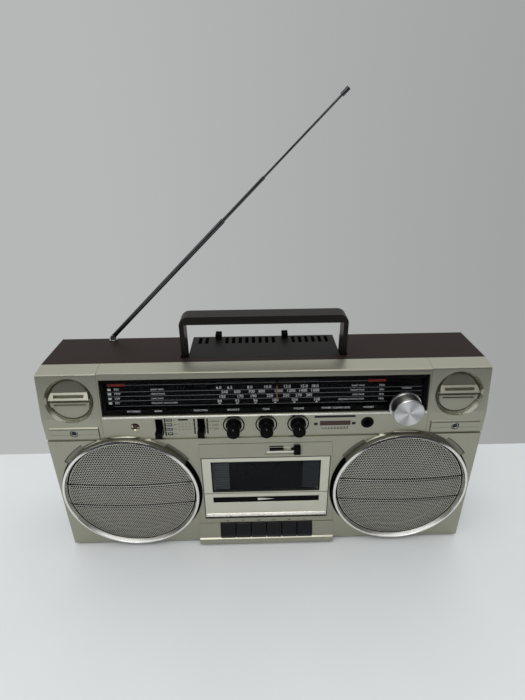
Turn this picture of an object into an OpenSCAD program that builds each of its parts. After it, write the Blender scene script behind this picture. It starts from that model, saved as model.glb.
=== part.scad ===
// Portable stereo radio cassette player, built as separate pieces.
// Working frame: X to the viewer's right, Y from the front panel to the back, Z up from the underside.
// placed() moves that frame so that the part's origin lies under the middle of its box, on the floor.

/* [Cabinet] */
// Width across the cabinet
body_w = 430; // [416:1:450]
// Height of the cabinet without its feet
body_h = 213.7; // [210:0.1:220]
// Depth from the front panel to the back
body_d = 82; // [80:0.5:92]
// Depth of the front shell, up to the parting line
front_d = 24.5; // [24:0.5:26]
// Wall of the front shell
front_wall = 3.2; // [3:0.1:3.4]
// Wall of the rear shell
rear_wall = 2.8; // [2.4:0.1:3.2]
// Gap at each parting line
seam = 0.2; // [0.1:0.05:0.3]
// Height of a rubber foot
foot_h = 3; // [2:0.5:6]
// Radius of a rubber foot
foot_r = 7; // [5:0.5:9]
// Distance of a foot's centre from the side of the cabinet
foot_inset = 25; // [15:1:40]

/* [Upper block] */
// Height of the upper block's lower edge
block_z = 143.3; // [142.5:0.1:145]
// Height of the upright control strip
control_h = 23.5; // [23:0.1:25]
// Setback of the leaning dial face at its top edge
dial_lean = 7.6; // [6:0.1:9]
// Rise of the crown from its front edge to the parting line
crown_rise = 2.4; // [1.5:0.1:3]
// Width of each corner panel
corner_w = 56.6; // [55:0.1:58]
// Height of the shadow groove under the upper block
groove_h = 2.7; // [1.5:0.1:3]
// Depth of the shadow groove
groove_d = 1.5; // [0.8:0.1:2]

/* [Dial] */
// Margin between the dial pocket and the corner panel
dial_edge = 1.6; // [1.2:0.1:3]
// Margin between the fold and the lower edge of the dial pocket
dial_low = 2; // [1.5:0.1:3]
// Margin between the dial pocket and the top front edge
dial_high = 6.1; // [5.5:0.1:8]
// Width of the ledge that carries the lens
dial_ledge = 4; // [3:0.1:5]
// Depth of the lens below the dial face
lens_recess = 0.9; // [0.6:0.1:1]
// Thickness of the clear lens
lens_t = 1.4; // [1.2:0.1:1.5]
// Depth of the printed scale plate below the dial face
scale_depth = 6.4; // [6.2:0.1:7]
// Thickness of the scale plate
scale_t = 1.2; // [0.8:0.1:1.4]
// Place of the pointer along the dial
pointer_x = 11.5; // [-40:0.5:40]
// Width of the pointer blade
pointer_w = 1; // [0.8:0.1:2]
// Distance of the pointer's lower tip from the fold
pointer_tip = 14; // [9:0.5:16]
// Radius of the cord spool on the tuning shaft
spool_r = 6; // [5:0.1:6.5]
// Radius of the dial drum
drum_r = 9; // [8:0.1:10]
// Distance of the drum's axle from the side of the dial
drum_inset = 18.8; // [17.5:0.1:20]
// Thickness of the dial cord
cord_t = 0.8; // [0.6:0.1:1]
// Depth of the cord's plane behind the front panel
cord_y = 14.5; // [14:0.1:15]

/* [Knobs and switches] */
// Height of the knob row above the upper block's lower edge
control_rise = 13; // [12:0.1:13.5]
// Place of the balance knob
balance_x = -31; // [-33:0.5:-29]
// Place of the tone knob
tone_x = 0.7; // [-1:0.1:2]
// Place of the volume knob
volume_x = 31.8; // [30:0.1:33]
// Radius of a control knob's body
knob_r = 6.5; // [5:0.1:7]
// Radius of a control knob's skirt
knob_skirt_r = 7.8; // [7.4:0.1:9]
// Reach of a control knob in front of the panel
knob_reach = 15; // [12:0.5:18]
// Radius of the turning shafts
shaft_r = 3; // [2.5:0.1:3.2]
// Outer radius of the ring cut around a control knob
knob_ring_r = 10.7; // [9.6:0.1:11.5]
// Distance of the tuning knob from the side of the dial
tuning_inset = 23.2; // [22:0.1:25]
// Height of the tuning shaft above the dial ledge
tuning_rise = 3.2; // [3.1:0.1:5]
// Radius of the tuning knob
tuning_r = 14.3; // [12:0.1:15]
// Radius of the tuning knob's rear flange
tuning_flange_r = 15.3; // [15.1:0.1:17]
// Reach of the tuning knob in front of the panel
tuning_reach = 15.5; // [12:0.5:20]
// Place of the band lever, as a share of half the control strip
band_share = -0.652; // [-0.66:0.001:-0.64]
// Place of the function lever, as a share of half the control strip
function_share = -0.395; // [-0.41:0.001:-0.38]
// Width of a lever's cap
lever_w = 6.6; // [5:0.1:7.5]
// Height of a lever's cap
lever_h = 7; // [6:0.1:7.5]
// Reach of a lever in front of the panel
lever_reach = 8; // [5:0.5:10]
// Travel of the band and function levers
lever_travel = 10.5; // [8:0.1:11]
// Height of the lower end of the lever slots above the block's lower edge
lever_low = 3.2; // [3:0.1:4]
// Place of the level meter's middle, as a share of half the control strip
meter_share = 0.43; // [0.42:0.001:0.44]
// Width of the level meter's window
meter_w = 29.6; // [26:0.1:31]
// Height of the level meter's window
meter_h = 4.9; // [4:0.1:6]
// Place of the phones jack, as a share of half the control strip
jack_share = 0.629; // [0.61:0.001:0.64]
// Radius of the phones jack's bore
jack_bore_r = 3.25; // [3.2:0.01:3.4]
// Radius of the phones jack's nut
jack_nut_r = 6.3; // [6:0.1:7]
// Depth of the phones jack's bore behind its nut
jack_bore_d = 18; // [16:0.5:19]
// Place of the stereo lamp, as a share of half the control strip
lamp_share = -0.8; // [-0.81:0.001:-0.78]
// Radius of the stereo lamp
lamp_r = 2.5; // [2:0.1:3]
// Radius of the dish around the stereo lamp
lamp_dish_r = 4.3; // [4:0.1:5]

/* [Speakers] */
// Gap between a trim ring and the side of the cabinet
ring_side = 3.9; // [3:0.1:5]
// Gap between a trim ring and the underside
ring_low = 2.3; // [2.2:0.1:4]
// Half the width of the column between the two trim rings
column_half = 70.1; // [70:0.1:72]
// Reach of the trim ring in front of the panel
ring_reach = 6.1; // [5:0.1:7]
// Width of the trim ring around the grille
ring_w = 6.3; // [5.5:0.1:7]
// Reach of the grille's edge in front of the panel
grille_reach = 1.9; // [1.8:0.1:2.3]
// Rise of the domed grille from its edge to its middle
grille_rise = 4.3; // [2:0.1:5]
// Thickness of the grille
grille_t = 0.8; // [0.6:0.1:1]
// Half the height of the band between the two grille creases
crease_half = 13.7; // [10:0.1:18]
// Depth of a grille crease
crease_d = 0.4; // [0.2:0.1:0.5]
// Width of the side channel along the ring, on the cabinet's outer side
channel_outer = 1.7; // [1.2:0.1:1.9]
// Width of the side channel along the ring, towards the door
channel_inner = 3; // [2:0.1:3.2]
// Depth of the channels
channel_d = 2; // [1:0.1:2.2]
// Width of the sloping arch over the ring
arch_w = 2.5; // [2:0.1:3.5]
// Width of the shallow wings beside the arch
wing_w = 5.6; // [5:0.1:7]
// Depth of the shallow wings beside the arch
wing_d = 1; // [0.4:0.1:1.2]
// Width of the baffle that the ring covers
baffle_w = 13; // [12:0.1:14]
// Width from the ring's edge to the woofer's flange
flange_in = 8; // [7.5:0.1:9]
// Radius of the woofer's magnet
magnet_r = 36; // [34:0.5:37]
// Thickness of the woofer's magnet
magnet_t = 15; // [12:0.5:16]
// Depth of the woofer behind the front panel
woofer_d = 43; // [41:0.5:44]
// Depth of the paper cone
cone_d = 18.7; // [17:0.1:19.5]
// Radius of the voice coil
coil_r = 12.3; // [10:0.1:16]

/* [Tweeters and microphones] */
// Distance of a tweeter's centre from the side of the cabinet
tweeter_inset = 28.6; // [28:0.1:29.2]
// Height of a tweeter's centre up the leaning face, as a share of that face
tweeter_share = 0.405; // [0.4:0.001:0.42]
// Radius of the tweeter dish at the surface, as a share of the leaning face
dish_share = 0.514; // [0.49:0.001:0.52]
// Inward slope of the dish's wall
dish_slope = 3.8; // [3:0.1:4.5]
// Depth of the tweeter dish
dish_d = 5.6; // [5.2:0.1:6.5]
// Width of the raised microphone plate
mic_plate_w = 47.6; // [44:0.1:49]
// Height of the raised microphone plate
mic_plate_h = 12.6; // [11:0.1:13]
// Thickness of the raised microphone plate
mic_plate_t = 1.6; // [1:0.1:2.5]
// Radius of a microphone capsule
mic_r = 3.6; // [3:0.1:4]

/* [Cassette door] */
// Width of the cassette door
door_w = 131; // [130:0.1:131.2]
// Height of the door's lower edge
door_z = 34.6; // [34.2:0.1:35]
// Height of the cassette door
door_h = 80.4; // [79:0.1:80.8]
// Thickness of the cassette door
door_t = 4; // [3.6:0.1:4.2]
// Width of the door's window
window_w = 113.2; // [110:0.1:115]
// Distance of the window's lower edge from the door's lower edge
window_low = 34.8; // [33:0.1:36]
// Height of the window
window_h = 41; // [38:0.1:42]
// Thickness of the window pane
window_t = 1.6; // [1:0.1:2]
// Depth of the window pane below the door's face
window_recess = 0.8; // [0.4:0.1:1.2]
// Height of the pull bar along the door's lower edge
bar_h = 5.2; // [4:0.1:5.5]
// Reach of the pull bar in front of the door
bar_reach = 2.6; // [2:0.1:3]
// Radius of the door's hinge pins
door_pin_r = 1.2; // [1:0.05:1.3]

/* [Tape deck] */
// Depth of the deck plate's front face
deck_y = 20; // [19.6:0.1:20.2]
// Thickness of the deck plate
deck_t = 2.5; // [2:0.1:2.6]
// Distance between the two reel axles
reel_pitch = 42.5; // [42.4:0.1:42.6]
// Height of the reel axles
reel_z = 80; // [78:0.5:82]
// Radius of a reel table
reel_r = 13; // [11:0.5:14]
// Radius of a reel spindle
spindle_r = 4; // [3.5:0.1:4.5]
// Radius of a reel axle
axle_r = 1.5; // [1.2:0.1:1.8]
// Place of the capstan
capstan_x = 16; // [15:0.1:17]
// Height of the capstan
capstan_z = 53; // [52.8:0.1:54]
// Radius of the capstan
capstan_r = 1; // [0.8:0.05:1.2]
// Radius of the flywheel
flywheel_r = 22; // [20:0.5:23]
// Place of the tape motor
motor_x = -28; // [-30:0.5:-27]
// Height of the tape motor
motor_z = 97; // [96:0.5:99]
// Radius of the tape motor
motor_r = 14; // [12:0.5:15]
// Length of the tape motor
motor_len = 24; // [20:0.5:28]
// Radius of the motor pulley
pulley_r = 4; // [3.5:0.1:4.5]
// Travel of the head plate
head_travel = 5; // [4.5:0.1:5]
// Radius of the pinch roller
pinch_r = 5.2; // [4.8:0.1:5.3]

/* [Keys] */
// Width of the key base
base_w = 147.2; // [140:0.1:150]
// Height of the key base
base_h = 25.4; // [25:0.1:26.4]
// Reach of the key base in front of the panel
base_reach = 5; // [4.8:0.1:5.2]
// Reach of the key base's lower lip in front of the panel
lip_reach = 6.5; // [6.3:0.1:6.8]
// Height of the key base's lower lip
lip_h = 8.4; // [8:0.1:8.6]
// Distance from one key to the next
key_pitch = 16.8; // [16:0.1:17.2]
// Gap between two keys
key_gap = 1; // [0.4:0.05:1.2]
// Reach of the keys in front of the panel
key_reach = 7; // [6.5:0.1:8]
// Radius of the rod that the keys turn on
key_rod_r = 1.2; // [1:0.05:1.3]

/* [Handle] */
// Half the distance between the handle arms' inner faces
arm_inner = 76.5; // [76:0.1:78]
// Thickness of a handle arm
arm_t = 4.6; // [4:0.1:5]
// Depth of the handle from front to back
handle_depth = 18; // [16:0.1:18]
// Thickness of the grip
grip_t = 8; // [6.5:0.1:9]
// Height of the grip's top above the handle's pivot
grip_rise = 52; // [51.5:0.1:56]
// Outer corner radius of the handle
handle_corner = 9; // [6:0.5:11]
// Distance of the handle's pivot from the back
pivot_back = 39.5; // [39.2:0.1:40]
// Depth of the handle's pivot below the top
pivot_drop = 9.4; // [9.4:0.1:10]
// Radius of the handle's pivot pins
pivot_r = 3; // [2.5:0.1:3.5]
// Side gap between a handle arm and its slot
arm_gap = 1.3; // [1:0.1:1.6]
// Thickness of the vented plate between the arms
vent_t = 3.1; // [2.6:0.1:3.4]
// Number of vents
vent_count = 20; // [12:1:22]
// Distance from one vent to the next
vent_pitch = 7; // [6:0.1:7]
// Width of a vent
vent_w = 3.4; // [2.5:0.1:4]
// Length of a vent
vent_len = 14; // [10:0.5:16]

/* [Aerial] */
// Distance of the aerial's pivot from the side of the cabinet
aerial_inset = 55.5; // [54:0.5:57]
// Distance of the aerial from the back
aerial_back = 4.6; // [4.4:0.1:5]
// Height of the aerial's tilt pivot above the top
aerial_rise = 4.1; // [4:0.1:4.4]
// Lean of the aerial above the horizontal
aerial_deg = 44.2; // [30:0.1:60]
// Radius of the lowest tube
tube_r = 2.35; // [2.3:0.01:2.5]
// Length of the lowest tube from the pivot
tube_len = 171; // [165:1:180]
// Length of the middle tube that shows
middle_out = 54.7; // [30:0.1:90]
// Radius of the middle tube
middle_r = 1.65; // [1.6:0.01:1.7]
// Whole length of the middle tube
middle_len = 150; // [140:1:155]
// Length of the upper tube that shows
upper_out = 93; // [40:0.1:120]
// Radius of the upper tube
upper_r = 1.05; // [0.95:0.01:1.1]
// Whole length of the upper tube
upper_len = 140; // [130:1:145]
// Radius of the tip
tip_r = 2; // [1.8:0.1:2.3]
// Length of the tip
tip_len = 7.9; // [5:0.1:10]
// Width of an aerial rest
rest_w = 6.6; // [5:0.1:8]
// Place of the left aerial rest
rest_left_x = -47.5; // [-50:0.5:-45]
// Place of the right aerial rest
rest_right_x = 22.8; // [20:0.1:25]

/* [Power and fasteners] */
// Width of the battery bay
bay_w = 188; // [184:1:190]
// Height of the battery bay
bay_h = 67; // [66:0.5:68]
// Height of the bay's floor
bay_z = 9.5; // [9.2:0.1:10]
// Depth of the bay
bay_depth = 34; // [33:0.5:35]
// Thickness of the battery cover
cover_t = 3; // [2.8:0.1:3.4]
// Radius of the battery cover's hinge pins
cover_pin_r = 1; // [0.8:0.05:1.1]
// Radius of a case screw's shank
screw_r = 1.5; // [1.2:0.1:1.6]
// Radius of a case screw's head
screw_head_r = 3; // [2.6:0.1:3.2]
// Width of the mains inlet
inlet_w = 22; // [20:0.1:24]
// Height of the mains inlet
inlet_h = 14; // [12.5:0.1:16]
// Place of the mains inlet
inlet_x = 150; // [140:1:160]
// Height of the mains inlet's middle
inlet_z = 122; // [118:1:130]

/* [Fits] */
// Radial clearance of a turning shaft in its bore
run_gap = 0.05; // [0.03:0.01:0.08]
// Clearance around pieces that move past each other
move_gap = 0.4; // [0.35:0.05:0.45]

/* [Hidden] */
$fn = 48;

champagne = "#A8A695";
brown = "#3A2826";
black = "#1B1B1C";
steel = "#B9BBBE";
chrome = "#D5D7DA";
phenolic = "#7A5B34";

half_w = body_w / 2;
seam_x = half_w - corner_w;
fold_z = block_z + control_h;
top_z = body_h - crown_rise;
facet_rise = top_z - fold_z;
facet_len = norm([facet_rise, dial_lean]);
lean_deg = atan2(dial_lean, facet_rise);
control_z = block_z + control_rise;
mid_y = (body_d - tuning_reach) / 2;
rear_y = front_d + seam;
back_in = body_d - rear_wall;

dial_half = seam_x - dial_edge;
dial_top = facet_len - dial_high;
pocket_d = lens_recess + lens_t;
scale_low = dial_low - 1;
scale_top = dial_top + 1;
tuning_x = dial_half - tuning_inset;
tuning_z = fold_z + dial_low + dial_ledge + tuning_rise;
drum_x = dial_half - drum_inset;
drum_z = tuning_z + spool_r - drum_r;
cord_gap = 0.3;
cord_top = tuning_z + spool_r + cord_gap + cord_t;
drum_half_t = 1.6;

board_y = 30;
board_t = 1.6;
board_side = 8.4;
board_half = seam_x - board_side;
board_edge = 4;
board_low = block_z + groove_h;
board_gap = 1.8;
board_post_z = board_low + board_edge;
post_r = 3;
part_h = 11;
part_w = 9;
part_r = 4;
gang_w = 20;
gang_h = 26;
lamp_x = lamp_share * seam_x;
band_x = band_share * seam_x;
function_x = function_share * seam_x;
meter_x = meter_share * seam_x;
jack_x = jack_share * seam_x;
board_posts = [board_edge - board_half, (band_x + function_x) / 2, (jack_x + tuning_x) / 2,
    board_half - board_edge];
pot_y = 17;
pot_r = 8;
bush_r = shaft_r + 1;

ring_r = min((half_w - ring_side - column_half) / 2, (block_z - ring_low) / 2);
speaker_x = (half_w - ring_side + column_half) / 2;
speaker_z = (block_z + ring_low) / 2;
crest_w = 2.4;
grille_r = ring_r - ring_w;
dome_r = (grille_r * grille_r + grille_rise * grille_rise) / (2 * grille_rise);
arch_r = ring_r + arch_w;
speaker_hole_r = ring_r - baffle_w;
woofer_r = ring_r - flange_in;
rim_t = 2;
coil_t = 1.2;
cone_rim_r = speaker_hole_r - 1.9;
cone_roll = 2.4;
wing_low_deg = 34;
wing_deg = 22;
tweeter_x = half_w - tweeter_inset;
tweeter_rise = tweeter_share * facet_len;
dish_r = dish_share * facet_len;
dish_floor_r = dish_r - dish_slope;
plug_r = dish_floor_r - 0.4;
tweeter_magnet_r = plug_r / 2;
mic_z = block_z + 1.2 + mic_plate_h / 2;
mic_back = 9;

opening_gap = 2 * move_gap;
door_half = door_w / 2;
door_top = door_z + door_h;
door_drop = 2.6;
opening_low = door_z - door_drop;
opening_half = door_half + opening_gap;
opening_top = door_top + 1;
door_pin_y = front_wall + door_pin_r + 0.8;
door_pin_z = door_z + 2;
lug_t = 4;
lug_back = door_pin_y + door_pin_r + 1.6;
deck_wall = 2;
deck_half = opening_half + 3;
deck_low = opening_low - 1.7;
deck_high = opening_top + 3;
deck_front = front_wall + seam;
deck_back = deck_y + deck_t;
plate_y = deck_y - move_gap;
belt_y = deck_back + 6;
belt_half = 0.8;
wheel_front = deck_back + 2.5;
wheel_back = wheel_front + 6;
motor_y = wheel_back + 2;
pinch_z = capstan_z - capstan_r - 0.5 - head_travel - pinch_r;
head_low = opening_low + 4.5;
head_high = head_low + 9.5;
head_plate_half = 28;
head_w = 13;
head_y = 9;
erase_x = 18;
erase_w = 8;

switch_low_x = -0.8;
switch_w = 37.6;
switch_z = door_top + 9.8;
switch_h = 11.6;
tape_lever_x = 31.6;
tape_travel = 24;
tape_cap_w = 6.8;
tape_neck = 3.2;
jack_body_r = jack_nut_r - 1.3;

key_count = 6;
key_w = key_pitch - key_gap;
pocket_half = key_count * key_pitch / 2;
key_top = base_h - 0.1;
key_cap_low = lip_h + 0.8;
rod_y_pos = -1.8;
rod_z_pos = 5;
lip_t = 2;
base_edge = 0.8;
key_face_low = key_cap_low + 3.4;
key_t = 2.4;

core_w = 44;
core_h = 36;
core_d = 20;
coil_d = 34;
core_coil_w = 28;
core_coil_h = 24;
strap_w = 56;
strap_h = 16;

slot_inner = arm_inner - arm_gap;
slot_outer = arm_inner + arm_t + arm_gap;
slot_wall = 2.8;
pivot_y = body_d - pivot_back;
pivot_z = body_h - pivot_drop;
arm_end_r = handle_depth / 2;
slot_front = pivot_y - arm_end_r - move_gap - 0.1;
slot_floor = pivot_z - arm_end_r - 1.8;
vent_z = body_h - vent_t;
board_top = vent_z - rear_wall - board_gap;
grip_top_z = pivot_z + grip_rise;

aerial_x = -(half_w - aerial_inset);
aerial_y = body_d - aerial_back;
aerial_z = body_h + aerial_rise;
stud_r = 3;
tongue_half = 1.5;
fork_t = 1.2;
aerial_pin_r = 1;
knuckle_r = 2.6;
knuckle_reach = 5;

bay_half = bay_w / 2;
bay_wall = 2;
bay_top = bay_z + bay_h;
contact_half = 9;
cover_half = bay_half + 3.6;
cover_y = body_d - cover_t - 0.1;
cover_pin_y = cover_y + cover_t / 2;
cover_pin_z = bay_z - 1.6;
cover_edge_r = cover_t / 2;
cover_top = bay_top + 3.2;

boss_r = 4.5;
shell_spots = [[-(half_w - 12), 12], [half_w - 12, 12], [-(door_w / 2 + 6.5), block_z - 13.3],
    [door_w / 2 + 6.5, block_z - 13.3]];
corner_spot = [half_w - front_wall - boss_r + 0.5, top_z - 7.3];
screw_spots = concat(shell_spots, [corner_spot, [-corner_spot[0], corner_spot[1]]]);
screw_head_y = body_d - 6;
screw_tip_y = front_d - 10;

front_profile = [[0, 0], [0, fold_z], [dial_lean, top_z], [front_d, body_h], [front_d, 0]];
front_inside = [[front_wall, front_wall], [front_wall, fold_z], [dial_lean + front_wall, top_z - front_wall],
    [front_d + 1, body_h - front_wall], [front_d + 1, front_wall]];

// Shared shapes

// Moves the working frame to the part's own origin
module placed() translate([0, -mid_y, foot_h]) children();

// Box between two opposite corners
module box(low, high) translate(low) cube(high - low);

// Extrusion along X of an outline given in Y and Z
module prism_x(outline, x0, x1) translate([x0, 0, 0]) rotate([90, 0, 90])
    linear_extrude(x1 - x0) polygon(outline);

// Round bar along X
module bar_x(x0, x1, y, z, r) translate([x0, y, z]) rotate([0, 90, 0]) cylinder(h = x1 - x0, r = r);

// Round bar along Y
module bar_y(x, z, y0, y1, r) translate([x, y0, z]) rotate([-90, 0, 0]) cylinder(h = y1 - y0, r = r);

// Round bar along Z
module bar_z(x, y, z0, z1, r) translate([x, y, z0]) cylinder(h = z1 - z0, r = r);

// Turned shape around an axis along Y, from an outline of radius and depth
module turned_y(x, z, outline) translate([x, 0, z]) rotate([-90, 0, 0]) rotate_extrude() polygon(outline);

// Frame of the leaning dial face: Y goes into the cabinet, Z goes up the face from the fold
module on_dial() translate([0, 0, fold_z]) rotate([-lean_deg, 0, 0]) children();

// Filled loop around two wheels, in X and Z
module loop_face(a, ra, b, rb) {
    gap = norm(b - a);
    turn = atan2(b[1] - a[1], b[0] - a[0]);
    tilt = acos((ra - rb) / gap);
    up = [cos(turn + tilt), sin(turn + tilt)];
    down = [cos(turn - tilt), sin(turn - tilt)];
    translate(a) circle(r = ra);
    translate(b) circle(r = rb);
    polygon([a + ra * up, a + ra * down, b + rb * down, b + rb * up]);
}

// Closed belt or cord around two wheels
module loop_band(a, ra, b, rb, thick, y, half) translate([0, y + half, 0]) rotate([90, 0, 0])
    linear_extrude(2 * half) difference() {
        loop_face(a, ra + thick, b, rb + thick);
        loop_face(a, ra, b, rb);
    }

// Left and right copies
module both_sides() {
    children();
    mirror([1, 0, 0]) children();
}

// Cabinet

module front_cabinet() color(champagne) placed() difference() {
    union() {
        difference() {
            prism_x(front_profile, -half_w, half_w);
            prism_x(front_inside, -half_w + front_wall, half_w - front_wall);
        }
        for (x = board_posts) bar_y(x, board_post_z, front_wall - 1, board_y - seam, post_r);
        for (spot = shell_spots) bar_y(spot[0], spot[1], front_wall - 1, front_d, boss_r);
        on_dial() for (x = [-dial_half + 2, dial_half - 2], s = [dial_low + 2, dial_top - 2])
            translate([x, pocket_d, s]) rotate([-90, 0, 0]) cylinder(h = scale_depth - seam - pocket_d, r = 1.6);
    }
    corner_notches();
    box([-half_w - 1, -1, block_z - groove_h], [half_w + 1, groove_d, block_z]);
    both_sides() speaker_cuts();
    dial_cuts();
    control_cuts();
    tape_cuts();
    centre_seam();
    for (spot = shell_spots) bar_y(spot[0], spot[1], screw_tip_y - 1, front_d + 1, screw_r + run_gap);
}

// Room for the two corner panels
module corner_notches() both_sides()
    box([seam_x, -1, block_z], [half_w + 1, front_d + 1, body_h + 1]);

// Opening, side channels, arch and shallow wings around one speaker
module speaker_cuts() {
    bar_y(speaker_x, speaker_z, -1, front_wall + 1, speaker_hole_r);
    ring_sector(channel_outer, channel_d, -wing_low_deg, 2 * wing_low_deg);
    ring_sector(channel_inner, channel_d, 180 - wing_low_deg, 2 * wing_low_deg);
    speaker_arch();
    ring_sector(wing_w, wing_d, wing_low_deg, wing_deg);
    ring_sector(wing_w, wing_d, 180 - wing_low_deg - wing_deg, wing_deg);
}

// Shallow cut beside the ring, from one angle over a sweep
module ring_sector(wide, deep, start, sweep) intersection() {
    turned_y(speaker_x, speaker_z,
        [[ring_r - 1, -1], [ring_r - 1, deep], [ring_r + wide, deep], [ring_r + wide, -1]]);
    sector(start, sweep, deep);
}

// Wedge about the speaker's middle, from one angle over a sweep
module sector(start, sweep, deep) translate([speaker_x, 2 * deep, speaker_z]) rotate([90, 0, 0])
    linear_extrude(4 * deep + 2) polygon([[0, 0], 2 * ring_r * [cos(start), sin(start)],
        2 * ring_r * [cos(start + sweep), sin(start + sweep)]]);

// Sloping arch over the ring, between the two wings
module speaker_arch() intersection() {
    turned_y(speaker_x, speaker_z, [[ring_r - 1, -1], [arch_r, -1], [arch_r, channel_d],
        [ring_r + move_gap, 0.1], [ring_r - 1, 0.1]]);
    sector(wing_low_deg + wing_deg, 180 - 2 * (wing_low_deg + wing_deg), channel_d);
}

// Fine line around the flared middle panel
module centre_seam() {
    line_w = 0.6;
    seam_top = block_z - groove_h - 6.6;
    seam_low = base_h / 2;
    top_half = opening_half;
    low_half = base_w / 2 + line_w;
    translate([0, line_w, 0]) rotate([90, 0, 0]) linear_extrude(line_w + 1) difference() {
        polygon([[-top_half - line_w, seam_top], [top_half + line_w, seam_top], [low_half, seam_low],
            [-low_half, seam_low]]);
        polygon([[-top_half, seam_top - line_w], [top_half, seam_top - line_w], [low_half - line_w, seam_low - 1],
            [line_w - low_half, seam_low - 1]]);
    }
}

// Lens pocket and the opening behind it
module dial_cuts() on_dial() {
    box([-dial_half, -1, dial_low], [dial_half, pocket_d, dial_top]);
    box([-dial_half + dial_ledge, -1, dial_low + dial_ledge],
        [dial_half - dial_ledge, scale_depth, dial_top - dial_ledge]);
}

// Holes of the control strip
module control_cuts() {
    for (x = [balance_x, tone_x, volume_x]) {
        bar_y(x, control_z, -1, front_wall + 1, shaft_r + 0.6);
        turned_y(x, control_z, [[knob_ring_r - 0.8, -1], [knob_ring_r - 0.8, 0.8], [knob_ring_r, 0.8],
            [knob_ring_r, -1]]);
    }
    for (x = [band_x, function_x]) box([x - lever_w / 2 - move_gap, -1, block_z + lever_low],
        [x + lever_w / 2 + move_gap, front_wall + 1, block_z + lever_low + lever_h + lever_travel + 2 * move_gap]);
    box([meter_x - meter_w / 2 - seam, -1, control_z - meter_h / 2 - seam],
        [meter_x + meter_w / 2 + seam, front_wall + 1, control_z + meter_h / 2 + seam]);
    bar_y(jack_x, control_z, -1, front_wall + 1, jack_body_r + run_gap);
    bar_y(lamp_x, control_z, -1, front_wall + 1, lamp_r + 0.1);
    bar_y(lamp_x, control_z, -1, 1.6, lamp_dish_r);
}

// Door opening, tape switch recess and the opening behind the keys
module tape_cuts() {
    box([-opening_half, -1, opening_low], [opening_half, front_wall + 1, opening_top]);
    box([switch_low_x, -1, switch_z - switch_h / 2], [switch_low_x + switch_w, 1, switch_z + switch_h / 2]);
    box([tape_lever_x - tape_travel - tape_cap_w / 2 - move_gap, -1, switch_z - tape_neck / 2 - move_gap],
        [tape_lever_x + tape_cap_w / 2 + move_gap, front_wall + 1, switch_z + tape_neck / 2 + move_gap]);
    box([-pocket_half - 0.4, -1, 2], [pocket_half + 0.4, front_wall + 1, base_h + 0.5]);
}

// Upper corner cap with its tweeter dish and microphone plate, drawn for the right side
module corner_panel() {
    cup_r = dish_floor_r + 2.6;
    low = block_z + seam;
    mic_top = mic_z + mic_plate_h / 2;
    mic_low = mic_z - mic_plate_h / 2;
    difference() {
        union() {
            difference() {
                intersection() {
                    prism_x(front_profile, seam_x + seam, half_w);
                    box([0, -1, low], [half_w + 1, front_d + 1, body_h + 1]);
                }
                prism_x(front_inside, seam_x + seam + front_wall, half_w - front_wall);
            }
            on_dial() translate([tweeter_x, dish_d - 2, tweeter_rise]) rotate([-90, 0, 0])
                cylinder(h = 4.4, r = cup_r);
            bar_y(corner_spot[0], corner_spot[1], screw_tip_y - 2, front_d, boss_r);
            prism_x([[1, mic_low], [0, mic_low], [-mic_plate_t, mic_low + 0.6], [-mic_plate_t, mic_top - mic_plate_t],
                [0, mic_top], [1, mic_top]], tweeter_x - mic_plate_w / 2, tweeter_x + mic_plate_w / 2);
        }
        on_dial() translate([tweeter_x, 0, tweeter_rise]) {
            rotate([-90, 0, 0]) rotate_extrude()
                polygon([[0, -3], [dish_r, -3], [dish_r, 0], [dish_floor_r, dish_d], [0, dish_d]]);
            rotate([-90, 0, 0]) cylinder(h = dish_d + 4, r = tweeter_magnet_r + 0.3);
        }
        bar_y(tweeter_x, mic_z, -mic_plate_t - 1, front_wall + 1, mic_r + 0.3);
        bar_y(corner_spot[0], corner_spot[1], screw_tip_y - 1, front_d + 1, screw_r + run_gap);
        speaker_arch();
    }
}

module corner_panel_right() color(champagne) placed() corner_panel();

module corner_panel_left() color(champagne) placed() mirror([1, 0, 0]) corner_panel();

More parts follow.
